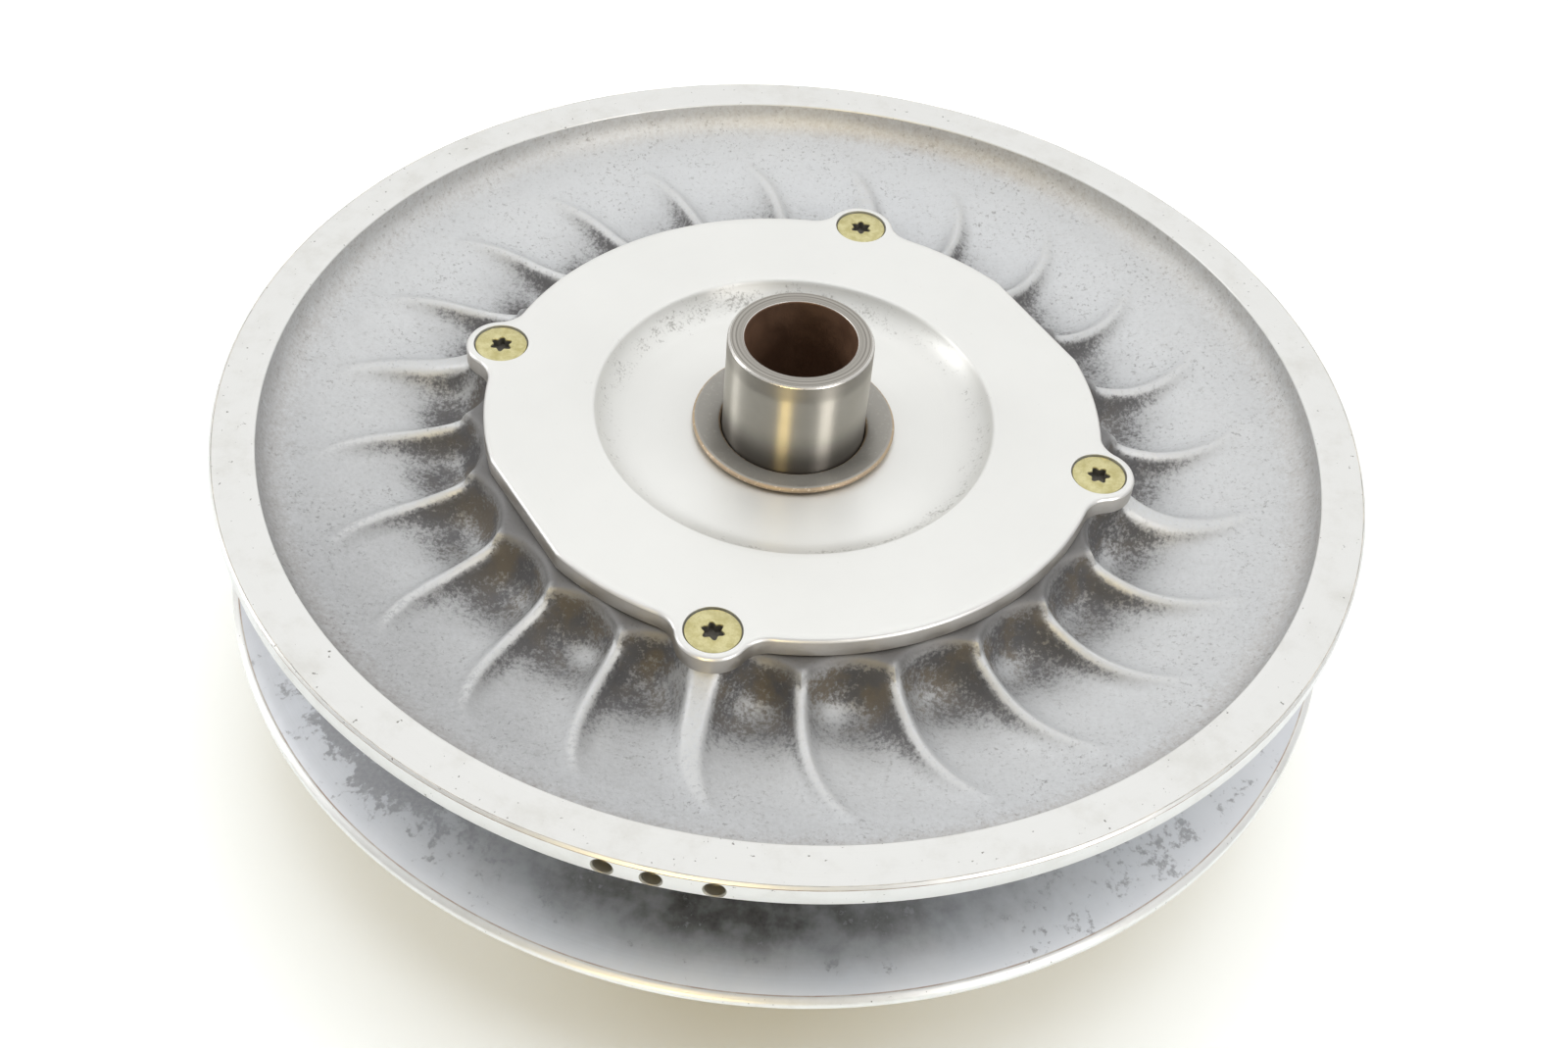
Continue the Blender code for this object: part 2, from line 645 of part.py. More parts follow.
def cover_outline():
    """Round plate with four rounded screw lobes and two flats."""
    fillet_distance = COVER_RADIUS + LOBE_FILLET
    lobe_distance = LOBE_RADIUS + LOBE_FILLET
    squares = SCREW_CIRCLE**2 + fillet_distance**2 - lobe_distance**2
    spread = math.acos(squares / (2 * SCREW_CIRCLE * fillet_distance))
    step = 2 * math.pi / SCREW_COUNT
    points = []
    for i in range(SCREW_COUNT):
        angle = SCREW_FIRST_ANGLE + i * step
        lobe = Vector(polar(SCREW_CIRCLE, angle))
        before = Vector(polar(fillet_distance, angle - spread))
        after = Vector(polar(fillet_distance, angle + spread))
        lean = math.atan2(*(before - lobe).yx)
        far = math.atan2(*(after - lobe).yx)
        far += 2 * math.pi * (far < lean)
        inward = angle - spread + math.pi
        turn = (lean + math.pi - inward + math.pi) % (2 * math.pi) - math.pi
        points += arc(before, LOBE_FILLET, inward, inward + turn, FILLET_STEPS)
        points += arc(lobe, LOBE_RADIUS, lean, far, 3 * FILLET_STEPS)[1:-1]
        inward = angle + spread + math.pi
        points += arc(after, LOBE_FILLET, inward - turn, inward, FILLET_STEPS)
        points += edge_stretch(angle + spread, angle + step - spread)
    return points


def edge_stretch(start, end):
    """Points of the cover's round edge strictly between two angles, with its flats cut straight."""
    half = math.acos((COVER_RADIUS - FLAT_DEPTH) / COVER_RADIUS)
    steps = round((end - start) / (2 * math.pi) * SHEAVE_STEPS)
    angles = [start + (end - start) * i / steps for i in range(1, steps)]
    for flat in FLAT_ANGLES:
        middle = flat + 2 * math.pi * math.ceil((start - flat) / (2 * math.pi))
        if middle + half < end:
            angles = [a for a in angles if abs(a - middle) > half]
            angles = sorted(angles + [middle - half, middle + half])
    return [polar(COVER_RADIUS, a) for a in angles]


def make_helix_cover(look, parent):
    """Cover plate with a dished middle, a bushing boss and the skirt that holds the three helical slots."""
    lap = COVER_SEAT + OVERLAP
    skirt = [
        (SPIGOT_RADIUS, lap),
        (SPIGOT_RADIUS, SPIGOT_BOTTOM),
        (HELIX_RADIUS, SPIGOT_BOTTOM),
        (HELIX_RADIUS, HELIX_BOTTOM),
        (HELIX_BORE, HELIX_BOTTOM),
        (HELIX_BORE, SPIGOT_BOTTOM),
        (BOSS_RADIUS, SPIGOT_BOTTOM),
        (BOSS_RADIUS, COVER_BOSS_BOTTOM),
        (BOSS_BORE, COVER_BOSS_BOTTOM),
        (BOSS_BORE, lap),
    ]
    fillet = min(RECESS_FILLET, RECESS_DEPTH)
    dish_start = RECESS_RADIUS - fillet
    dish = [
        (0.0, COVER_TOP + OVERLAP),
        (RECESS_RADIUS, COVER_TOP + OVERLAP),
        *arc((dish_start, RECESS_FLOOR + fillet), fillet, 0.0, -math.pi / 2, FILLET_STEPS),
        (0.0, RECESS_FLOOR),
    ]
    bore = [
        (0.0, COVER_TOP),
        (BOSS_BORE, COVER_TOP),
        (BOSS_BORE, COVER_BOSS_BOTTOM - OVERLAP),
        (0.0, COVER_BOSS_BOTTOM - OVERLAP),
    ]
    cover = extruded("helix_cover", cover_outline(), COVER_SEAT, COVER_TOP, PARTS)
    boolean(cover, turned("cover_skirt", skirt, ROUND_STEPS, CUTTERS), "UNION")
    boolean(cover, turned("cover_dish", dish, SHEAVE_STEPS, CUTTERS), "DIFFERENCE")
    boolean(cover, turned("cover_bore", bore, ROUND_STEPS, CUTTERS), "DIFFERENCE")
    boolean(cover, cover_pockets(), "DIFFERENCE")
    boolean(cover, helix_slots(), "DIFFERENCE")
    return finish(cover, look, parent)


def helix_slots():
    """Slots that climb backwards from each roller, as long as the shift and wide enough for a roller."""
    run = SHIFT_TRAVEL / math.tan(HELIX_ANGLE)
    across = HELIX_ANGLE + math.pi / 2
    top = (0.0, ROLLER_HEIGHT)
    bottom = (run, ROLLER_HEIGHT - SHIFT_TRAVEL)
    upper = arc(top, SLOT_RADIUS, math.pi - across, 2 * math.pi - across, 2 * FILLET_STEPS)
    lower = arc(bottom, SLOT_RADIUS, -across, math.pi - across, 2 * FILLET_STEPS)
    outline = upper + between(upper[-1], lower[0]) + lower + between(lower[-1], upper[0])
    reach = HELIX_RADIUS * math.sqrt(2)
    slots = extruded("helix_slots", outline, SPIDER_RADIUS, reach, CUTTERS)
    for vertex in slots.data.vertices:
        along, height, radius = vertex.co
        vertex.co = (*polar(radius, along / HELIX_MIDDLE), height)
    return repeat_round(slots, ROLLER_COUNT, ROLLER_FIRST_ANGLE)


def between(start, end):
    """Evenly spaced points strictly between two points of a slot's side."""
    shares = [i / SLOT_SIDE_STEPS for i in range(1, SLOT_SIDE_STEPS)]
    return [(start[0] + (end[0] - start[0]) * t, start[1] + (end[1] - start[1]) * t) for t in shares]


def make_cup(look, parent):
    """Cup clamped under the cover, which carries the spring and slides in the housing."""
    profile = [
        (CUP_BORE, HUB_TOP),
        (CUP_FLANGE_RADIUS, HUB_TOP),
        (CUP_FLANGE_RADIUS, HUB_TOP - CUP_FLANGE),
        (CUP_RADIUS, HUB_TOP - CUP_FLANGE),
        (CUP_RADIUS, CUP_BOTTOM),
        (BOSS_BORE, CUP_BOTTOM),
        (BOSS_BORE, CUP_BOTTOM + CUP_BOSS_LENGTH),
        (BOSS_RADIUS, CUP_BOTTOM + CUP_BOSS_LENGTH),
        (BOSS_RADIUS, CUP_FLOOR_TOP),
        (CUP_BORE, CUP_FLOOR_TOP),
    ]
    return finish(turned("spring_cup", profile, ROUND_STEPS, PARTS), look, parent)


def make_bushings(look, parent):
    """Flanged bushing in the cover's recess and plain bushing in the cup's boss."""
    flanged = [
        (RUN_RADIUS + BUSHING_LIP, BUSHING_FLANGE_TOP),
        (BUSHING_FLANGE_RADIUS, BUSHING_FLANGE_TOP),
        (BUSHING_FLANGE_RADIUS, BUSHING_FLANGE_BOTTOM),
        (BUSHING_RADIUS, BUSHING_FLANGE_BOTTOM),
        (BUSHING_RADIUS, COVER_BOSS_BOTTOM),
        (RUN_RADIUS, COVER_BOSS_BOTTOM),
        (RUN_RADIUS, BUSHING_FLANGE_TOP - BUSHING_LIP),
    ]
    plain = ring_profile(RUN_RADIUS, BUSHING_RADIUS, CUP_BOTTOM + SEAT_GAP, CUP_BOTTOM + CUP_BOSS_LENGTH)
    finish(turned("cover_bushing", flanged, ROUND_STEPS, PARTS), look, parent)
    finish(turned("cup_bushing", plain, ROUND_STEPS, PARTS), look, parent)


def ring_profile(inner, outer, bottom, top):
    return [(inner, top), (outer, top), (outer, bottom), (inner, bottom)]


def make_washers(look, parent):
    """Slip washers at both ends of the spring; the lower one rises with the moving sheave."""
    outer = COIL_RADIUS + WIRE_DIAMETER / 2 + WASHER_MARGIN
    lower = ring_profile(BOSS_RADIUS + RUN_GAP, outer, LOWER_WASHER, LOWER_WASHER + WASHER_THICKNESS)
    upper = ring_profile(RUN_RADIUS, outer, UPPER_WASHER, UPPER_WASHER + WASHER_THICKNESS)
    finish(turned("lower_slip_washer", lower, ROUND_STEPS, PARTS), look, parent)
    finish(turned("upper_slip_washer", upper, ROUND_STEPS, PARTS), look, None)


def make_spider(look):
    """Plate keyed to the post, with a ring that holds the roller pins."""
    ring_top = ROLLER_HEIGHT + SPIDER_RING_HEIGHT / 2
    ring_bottom = ROLLER_HEIGHT - SPIDER_RING_HEIGHT / 2
    profile = [
        (RUN_RADIUS, SPIDER_TOP),
        (SPIDER_BORE, SPIDER_TOP),
        (SPIDER_BORE, ring_top),
        (SPIDER_RADIUS, ring_top),
        (SPIDER_RADIUS, ring_bottom),
        (SPIDER_BORE, ring_bottom),
        (SPIDER_BORE, SPIDER_BOTTOM),
        (RUN_RADIUS, SPIDER_BOTTOM),
    ]
    spider = turned("roller_spider", profile, ROUND_STEPS, PARTS)
    boolean(spider, box_cutter("spider_key_seat", *key_corners(SEAT_GAP)), "DIFFERENCE")
    boolean(spider, pin_holes(), "DIFFERENCE")
    return finish(spider, look, None)


def pin_start():
    return SPIDER_BORE - PIN_TAIL


def pin_holes():
    """Radial holes through the spider's ring for the roller pins."""
    hole = PIN_RADIUS + SEAT_GAP
    start = pin_start() - SEAT_GAP
    end = SPIDER_RADIUS + OVERLAP
    profile = [(0.0, end), (hole, end), (hole, start), (0.0, start)]
    holes = settle(turned("pin_holes", profile, SMALL_STEPS, CUTTERS))
    holes.data.transform(Matrix.Translation((0.0, 0.0, ROLLER_HEIGHT)) @ Matrix.Rotation(math.pi / 2, 4, "Y"))
    return repeat_round(holes, ROLLER_COUNT, ROLLER_FIRST_ANGLE)


def make_key(look):
    key = new_object("spider_key", box_mesh("spider_key", *key_corners(0.0)), PARTS)
    return finish(key, look, None)


def make_retainer(look):
    """Open spring ring in the post's groove, above the spider."""
    inner = POST_RADIUS - RETAINER_DEPTH
    outer = inner + RETAINER_WIDTH
    start = RETAINER_OPENING / 2
    end = 2 * math.pi - start
    outline = arc((0.0, 0.0), outer, start, end, ROUND_STEPS)
    outline += arc((0.0, 0.0), inner, end, start, ROUND_STEPS)
    return finish(extruded("retaining_ring", outline, RETAINER_BOTTOM, RETAINER_TOP, PARTS), look, None)


def make_rollers(roller_look, bush_look, pin_look):
    """Rollers on radial pins: each roller turns on a bush, and the pin's head keeps both on."""
    bush_bore = PIN_RADIUS + RUN_GAP
    bush_radius = bush_bore + ROLLER_BUSH_WALL
    bore = bush_radius + SEAT_GAP
    roller = [
        (bore, ROLLER_END),
        (ROLLER_RADIUS - ROLLER_CHAMFER, ROLLER_END),
        (ROLLER_RADIUS, ROLLER_END - ROLLER_CHAMFER),
        (ROLLER_RADIUS, ROLLER_START + ROLLER_CHAMFER),
        (ROLLER_RADIUS - ROLLER_CHAMFER, ROLLER_START),
        (bore, ROLLER_START),
    ]
    bush = ring_profile(bush_bore, bush_radius, ROLLER_START, ROLLER_END)
    head = ROLLER_END + SEAT_GAP
    pin = [
        (0.0, head + PIN_HEAD),
        (PIN_HEAD_RADIUS, head + PIN_HEAD),
        (PIN_HEAD_RADIUS, head),
        (PIN_RADIUS, head),
        (PIN_RADIUS, pin_start()),
        (0.0, pin_start()),
    ]
    for i in range(ROLLER_COUNT):
        place = Matrix.Rotation(ROLLER_FIRST_ANGLE + 2 * math.pi * i / ROLLER_COUNT, 4, "Z")
        place @= Matrix.Translation((0.0, 0.0, ROLLER_HEIGHT))
        place @= Matrix.Rotation(math.pi / 2, 4, "Y")
        for name, profile, look in (
            ("roller", roller, roller_look),
            ("roller_bush", bush, bush_look),
            ("roller_pin", pin, pin_look),
        ):
            piece = finish(turned(f"{name}_{i + 1}", profile, SMALL_STEPS, PARTS), look, None)
            piece.matrix_world = place


def coil_height(turn):
    """Height of the wire's centre after so many turns, with the end turns wound close."""
    low = SPRING_BOTTOM + WIRE_DIAMETER / 2
    high = SPRING_TOP - WIRE_DIAMETER / 2
    end_rise = SPRING_END_TURNS * (WIRE_DIAMETER + SPRING_END_GAP)
    open_turns = SPRING_TURNS - 2 * SPRING_END_TURNS
    if turn <= SPRING_END_TURNS:
        return low + end_rise * turn / SPRING_END_TURNS
    if turn >= SPRING_TURNS - SPRING_END_TURNS:
        return high - end_rise * (SPRING_TURNS - turn) / SPRING_END_TURNS
    return low + end_rise + (high - low - 2 * end_rise) * (turn - SPRING_END_TURNS) / open_turns


def make_spring(look):
    """Compression spring as one unbroken wire."""
    steps = round(SPRING_TURNS * COIL_STEPS)
    points = []
    for i in range(steps + 1):
        turn = SPRING_TURNS * i / steps
        points.append(Vector((*polar(COIL_RADIUS, 2 * math.pi * turn), coil_height(turn))))
    curve = bpy.data.curves.new("spring", "CURVE")
    curve.dimensions = "3D"
    curve.bevel_depth = WIRE_DIAMETER / 2
    curve.bevel_resolution = 1
    curve.use_fill_caps = True
    spline = curve.splines.new("POLY")
    spline.points.add(len(points) - 1)
    for point, place in zip(spline.points, points):
        point.co = (*place, 1.0)
    curve.materials.append(look)
    half_turn = COIL_STEPS // 2
    pairs = [(i, j) for i in range(steps + 1) for j in range(i + half_turn, steps + 1)]
    apart = min((points[i] - points[j]).length for i, j in pairs)
    print(f"spring: least gap to itself {1000 * (apart - WIRE_DIAMETER):.2f} mm")
    return new_object("spring", curve, PARTS)


for old in list(bpy.data.objects):
    bpy.data.objects.remove(old)

PARTS = bpy.data.collections.new("driven_pulley")
CUTTERS = bpy.data.collections.new("cutters")
bpy.context.scene.collection.children.link(PARTS)
bpy.context.scene.collection.children.link(CUTTERS)

CAST_ALUMINIUM = material("cast_aluminium", (0.60, 0.61, 0.62), 0.45, 1.0)
MACHINED_ALUMINIUM = material("machined_aluminium", (0.80, 0.79, 0.77), 0.32, 1.0)
POST_STEEL = material("post_steel", (0.48, 0.45, 0.40), 0.28, 1.0)
SPRING_STEEL = material("spring_steel", (0.22, 0.23, 0.25), 0.40, 1.0)
YELLOW_ZINC = material("yellow_zinc", (0.78, 0.68, 0.34), 0.40, 1.0)
BRONZE = material("bronze", (0.50, 0.38, 0.27), 0.38, 1.0)
NYLON = material("nylon", (0.82, 0.80, 0.74), 0.55, 0.0)
ROLLER_PLASTIC = material("roller_plastic", (0.12, 0.11, 0.10), 0.45, 0.0)

MOVING_AXIS = bpy.data.objects.new("moving_axis", None)
PARTS.objects.link(MOVING_AXIS)

make_post(POST_STEEL)
make_fixed_sheave(CAST_ALUMINIUM)
screw_row(
    "flange_screw",
    screw_mesh("flange_screw_form", flange_screw_length(), hexagon_outline()),
    FLANGE_SCREW_CIRCLE,
    FLANGE_SCREW_COUNT,
    0.0,
    Matrix.Translation((0.0, 0.0, SCREW_SINK)) @ Matrix.Rotation(math.pi, 4, "X"),
    SPRING_STEEL,
    None,
)
make_spider(MACHINED_ALUMINIUM)
make_key(POST_STEEL)
make_retainer(SPRING_STEEL)
make_rollers(ROLLER_PLASTIC, BRONZE, POST_STEEL)
make_spring(SPRING_STEEL)
make_washers(NYLON, MOVING_AXIS)
make_moving_sheave(CAST_ALUMINIUM, MOVING_AXIS)
make_cup(MACHINED_ALUMINIUM, MOVING_AXIS)
make_helix_cover(MACHINED_ALUMINIUM, MOVING_AXIS)
make_bushings(BRONZE, MOVING_AXIS)
screw_row(
    "cover_screw",
    screw_mesh("cover_screw_form", COVER_SCREW_LENGTH, six_lobe_outline()),
    SCREW_CIRCLE,
    SCREW_COUNT,
    SCREW_FIRST_ANGLE,
    Matrix.Translation((0.0, 0.0, COVER_TOP - SCREW_SINK)),
    YELLOW_ZINC,
    MOVING_AXIS,
)
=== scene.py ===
"""Looks of a belt-drive driven pulley: fine meshes, worn metal finishes, camera and soft studio light."""

import math

import bmesh
import bpy
import numpy as np
from mathutils import Matrix, Vector


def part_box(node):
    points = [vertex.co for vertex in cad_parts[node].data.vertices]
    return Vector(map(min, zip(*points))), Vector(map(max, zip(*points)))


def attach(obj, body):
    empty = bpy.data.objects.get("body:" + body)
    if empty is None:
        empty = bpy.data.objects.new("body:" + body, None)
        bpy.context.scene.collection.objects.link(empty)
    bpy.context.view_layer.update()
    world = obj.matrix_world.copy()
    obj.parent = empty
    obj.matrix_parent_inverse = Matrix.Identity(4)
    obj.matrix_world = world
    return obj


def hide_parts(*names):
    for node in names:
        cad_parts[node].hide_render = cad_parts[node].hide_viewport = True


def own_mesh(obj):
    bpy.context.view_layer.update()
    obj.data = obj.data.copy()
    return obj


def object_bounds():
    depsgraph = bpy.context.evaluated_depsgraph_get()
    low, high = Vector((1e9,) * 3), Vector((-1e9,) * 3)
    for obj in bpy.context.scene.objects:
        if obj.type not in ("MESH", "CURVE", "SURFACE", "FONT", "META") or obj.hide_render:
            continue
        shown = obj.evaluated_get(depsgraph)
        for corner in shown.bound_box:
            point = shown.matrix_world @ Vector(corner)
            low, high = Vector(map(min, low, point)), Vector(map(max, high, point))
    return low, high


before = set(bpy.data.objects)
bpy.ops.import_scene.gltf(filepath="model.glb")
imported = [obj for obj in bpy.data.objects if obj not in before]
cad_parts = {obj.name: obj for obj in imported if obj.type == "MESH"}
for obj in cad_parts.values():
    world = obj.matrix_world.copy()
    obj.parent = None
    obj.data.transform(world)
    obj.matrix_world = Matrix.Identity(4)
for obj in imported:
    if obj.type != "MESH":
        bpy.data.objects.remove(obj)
CAD_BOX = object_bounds()

MM = 0.001
TURN = 2 * math.pi


def low(node):
    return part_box(node)[0].z


def high(node):
    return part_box(node)[1].z


def reach(node):
    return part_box(node)[1].x


def tall(node):
    return high(node) - low(node)


# Gaps and edge roundings of the fine pieces.
SEAT_GAP = 0.3 * MM
RUN_GAP = 0.3 * MM
EDGE = 0.35 * MM
WELD = 0.002 * MM
OVERSHOOT = 1.0 * MM
NEAR = 0.1 * MM
SMOOTH_BELOW = math.radians(38.0)

# The moving sheave.
SHEAVE_RADIUS = reach("moving_sheave")
RIM_TOP = high("moving_sheave")
RIM_HEIGHT = 5.3 * MM
RIM_WIDTH = 10.4 * MM
RIM_FILLET = 7.4 * MM
RIM_CHAMFER = 0.5 * MM
RIM_LINE = 0.24 * MM
GREY_LINE_DEPTH = 0.1 * MM
BROWN_LINE_DEPTH = 0.12 * MM
FACE_SLOPE = math.tan(math.radians(13.0))
FACE_EDGE_CHAMFER = 3.2 * MM
WEB_THICKNESS = 2.3 * MM
HUB_TOP = high("spring_cup")
HUB_RADIUS = 71.5 * MM
CUP_RADIUS = 57.8 * MM
CUP_BORE = 53.8 * MM
CUP_FLANGE = 3.0 * MM
CUP_FLANGE_RADIUS = reach("spring_cup")
FIN_COUNT = 24
FIN_FIRST_ANGLE = math.radians(5.15)
FIN_SWEEP = math.radians(5.4)
FIN_SWEEP_POWER = 3.3
FIN_TIP_RADIUS = 113.0 * MM
FIN_ROOT_WIDTH = 2.0 * MM
FIN_TIP_WIDTH = 1.3 * MM
FIN_FLARE = 0.8 * MM
FIN_FLARE_REACH = 2.6 * MM
FIN_HEIGHT = 6.2 * MM
FIN_ROOT_FALL = 1.3
FIN_FILLET = 2.4 * MM
FIN_ROUNDING = 0.45 * MM
FIN_CREST_FALL = 0.8
FIN_CREST_BLEND = 1.5 * MM
FIN_MEETING = 0.5 * MM
HUB_LEDGE = 74.2 * MM
HUB_ARCH = 4.6 * MM
HUB_ARCH_POWER = 2.2
HUB_FILLET = 3.2 * MM
HUB_ROUNDING = 0.5 * MM
BOSS_FILLET = 1.8 * MM
BOSS_ROUNDING = 0.4 * MM
BOSS_INSET = 1.5 * MM
BOSS_FIN_WIDTH = 3.8 * MM
BOSS_FIN_MIDDLE = 80.0 * MM
BOSS_FIN_REACH = 26.0 * MM
BOSS_FIN_RISE = 3.6 * MM
BOSS_FIN_FALL = 7.5 * MM
BALANCE_HOLE_RADIUS = 2.1 * MM
BALANCE_HOLE_DEPTH = 3.4 * MM
BALANCE_HOLE_DROP = 3.1 * MM
BALANCE_HOLE_TIP = 0.8 * MM
BALANCE_HOLE_ANGLES = [math.radians(angle) for angle in (257.8, 262.0, 267.3)]

# The fixed sheave.
CLOSED_GAP = 1.0 * MM
HOUSING_RADIUS = 63.8 * MM
HOUSING_BORE = 58.8 * MM
HOUSING_FLOOR = 5.5 * MM
FIXED_WEB_THICKNESS = 4.0 * MM
LOWER_RIM_SIDE = 1.8 * MM
LOWER_RIM_UNDERCUT = 2.2 * MM
LOWER_RIM_ROUNDING = 1.0 * MM
LOWER_LINE_INSET = 1.8 * MM
LOWER_LINE_DEPTH = 0.05 * MM
LOWER_LIP_INSETS = (1.5 * MM, 0.9 * MM)
BELT_FACE_INSET = 2.0 * MM
RIB_COUNT = 12
RIB_THICKNESS = 5.0 * MM
RIB_TIP_RADIUS = 119.5 * MM
RIB_DEPTH = 24.0 * MM
RIB_SIDE_SLOPE = 6.0
RIB_ROUNDING = 0.5 * MM
RIB_FILLET = 5.0 * MM
WALL_SLOPE = 8.0
WALL_ROUNDING = 0.1 * MM
WALL_FILLET = 6.0 * MM
WALL_START_DROP = 4.0 * MM
WALL_FIRST_DROP = 5.0 * MM
WALL_STEPS = 5

# The cover.
COVER_TOP = high("helix_cover")
COVER_THICKNESS = 5.0 * MM
COVER_RADIUS = 73.6 * MM
COVER_CHAMFER = 0.55 * MM
COVER_MIDDLE = 62.0 * MM
RECESS_RADIUS = 47.7 * MM
RECESS_DEPTH = 5.8 * MM
RECESS_FILLET = 9.5 * MM
RECESS_ARC_SHORT = 0.04
FLAT_DEPTH = 1.9 * MM
FLAT_ANGLES = [math.radians(angle) for angle in (35.0, 215.0)]
LOBE_RADIUS = 8.4 * MM
LOBE_FILLET = 7.0 * MM
SCREW_COUNT = 4
SCREW_FIRST_ANGLE = math.radians(80.0)
SPIGOT_RADIUS = 53.5 * MM
COVER_FLOOR = 5.0 * MM
SPIGOT_BOTTOM = COVER_TOP - RECESS_DEPTH - COVER_FLOOR
HELIX_BORE = 43.8 * MM
HELIX_RADIUS = 49.0 * MM
HELIX_ANGLE = math.radians(48.0)
SLOT_RADIUS = 9.9 * MM

# Screws.
SCREW_GAP = 0.3 * MM
SCREW_SINK = 0.3 * MM
SCREW_HEAD_RADIUS = 6.3 * MM
SCREW_HEAD_LAND = 0.5 * MM
SCREW_SHANK_RADIUS = 2.8 * MM
SOCKET_RADIUS = 2.2 * MM
SOCKET_WAVE = 0.42 * MM
SOCKET_DEPTH = 2.2 * MM
SOCKET_LIP = 0.15 * MM
SOCKET_ROWS = 3
SCREW_TIP = 0.6 * MM
FLANGE_SCREW_COUNT = 6
FLANGE_SCREW_CIRCLE = 27.0 * MM
SCREW_TURNS = [math.radians(angle) for angle in (12.0, 41.0, 23.0, 5.0, 33.0, 50.0)]

# The post, its bushings and the pieces inside.
POST_RADIUS = 17.15 * MM
POST_BORE = 13.15 * MM
POST_TOP = high("center_post")
POST_CHAMFER = 0.7 * MM
FLANGE_RADIUS = reach("center_post")
FLANGE_THICKNESS = 5.0 * MM
RUN_RADIUS = POST_RADIUS + RUN_GAP
BUSHING_RADIUS = 19.95 * MM
BUSHING_FLANGE = 2.1 * MM
BUSHING_LIP = 0.4 * MM
BUSHING_DISH = 1.5 * MM
BUSHING_BEVEL = 0.8 * MM
BUSHING_EDGE_TOP = 0.5 * MM
BUSHING_EDGE_BOTTOM = 1.2 * MM
BUSHING_RUBBED_EDGE = 0.6 * MM
BOSS_BORE = BUSHING_RADIUS + SEAT_GAP
BOSS_RADIUS = 24.5 * MM
CUP_FLOOR = 4.0 * MM
CUP_BOSS_LENGTH = 15.5 * MM
SPIDER_BORE = 35.8 * MM
SPIDER_RADIUS = 42.3 * MM
SPIDER_PLATE = 5.0 * MM
KEY_ROUNDING = 0.4 * MM
RETAINER_DEPTH = 1.0 * MM
RETAINER_OPENING = math.radians(24.0)
ROLLER_COUNT = 3
ROLLER_FIRST_ANGLE = math.radians(30.0)
ROLLER_HEIGHT = (low("roller_1") + high("roller_1")) / 2
ROLLER_RADIUS = 9.0 * MM
ROLLER_LENGTH = 7.4 * MM
ROLLER_START = SPIDER_RADIUS + SEAT_GAP
ROLLER_END = ROLLER_START + ROLLER_LENGTH
PIN_RADIUS = 4.0 * MM
PIN_HEAD_RADIUS = 5.6 * MM
PIN_HEAD = 2.0 * MM
PIN_TAIL = 1.5 * MM
BUSH_WALL = 1.3 * MM
BUSH_RADIUS = PIN_RADIUS + RUN_GAP + BUSH_WALL
SHIFT_TRAVEL = 24.0 * MM
WIRE_RADIUS = 2.4 * MM
COIL_RADIUS = 28.9 * MM
SPRING_TURNS = 3.6
SPRING_END_TURNS = 0.8
SPRING_END_GAP = 0.6 * MM

RIM_INNER = SHEAVE_RADIUS - RIM_WIDTH
RIM_BOTTOM = RIM_TOP - RIM_HEIGHT
COVER_SEAT = COVER_TOP - COVER_THICKNESS
RECESS_FLOOR = COVER_TOP - RECESS_DEPTH
COVER_BOSS_BOTTOM = low("cover_bushing")
CUP_SEAT = HUB_TOP - CUP_FLANGE - SEAT_GAP
CUP_POCKET = CUP_FLANGE_RADIUS + SEAT_GAP
SHEAVE_BORE = CUP_RADIUS + SEAT_GAP
SPIDER_TOP = ROLLER_HEIGHT + SPIDER_PLATE / 2
SPIDER_BOTTOM = ROLLER_HEIGHT - SPIDER_PLATE / 2

# Steps round the fine pieces.
LARGE_STEPS = 288
MEDIUM_STEPS = 144
SMALL_STEPS = 72
ROUNDING_STEPS = 3
ROUNDING_SHARE = 0.4
RIM_FILLET_STEPS = 12
MOVING_FACE_STEPS = 26
FIXED_FACE_STEPS = 30
LOBE_STEPS = 32
LOBE_FILLET_STEPS = 14
COVER_EDGE_STEPS = 100
BOWL_STEPS = 16
SKIRT_STEPS = 12
SLOT_END_STEPS = 24
SLOT_SIDE_STEPS = 20
COLUMNS_PER_FIN = 30
COLUMN_CROWDING = 0.6
RIB_SIDE_STEPS = np.array([0.0, 1.4, 2.1, 2.5, 2.9, 3.4, 4.1, 5.0, 6.0, 7.2]) * MM
RIB_GAP_STEPS = 10
COIL_STEPS = 72
WIRE_SIDES = 20

# Rows across the cast sides: the radius where each zone starts, and its spacing.
FINNED_ZONES = (
    (CUP_POCKET + 2 * MM, 1.5 * MM),
    (70 * MM, 0.45 * MM),
    (86 * MM, 0.9 * MM),
    (114 * MM, 1.2 * MM),
)
RIBBED_ZONES = (
    (SHEAVE_RADIUS - LOWER_RIM_UNDERCUT - MM, -1.3 * MM),
    (70 * MM, -0.3 * MM),
)


def moving_face(radius):
    """Height of the moving sheave's belt face."""
    return RIM_BOTTOM - FACE_EDGE_CHAMFER - (SHEAVE_RADIUS - FACE_EDGE_CHAMFER - radius) * FACE_SLOPE


def moving_web(radius):
    return moving_face(radius) + WEB_THICKNESS


def fixed_face(radius):
    """Height of the fixed sheave's belt face, a small gap under the moving one at the hub."""
    return moving_face(HOUSING_RADIUS) - CLOSED_GAP - (radius - HOUSING_RADIUS) * FACE_SLOPE


def fixed_back(radius):
    return fixed_face(radius) - FIXED_WEB_THICKNESS


def smooth_min(a, b, span):
    """Lesser of two fields, blended where they differ by less than the span."""
    near = np.clip(1 - np.abs(a - b) / span, 0, 1)
    return np.minimum(a, b) - near * near * span / 4


def smooth_max(a, b, span):
    return -smooth_min(-a, -b, span)


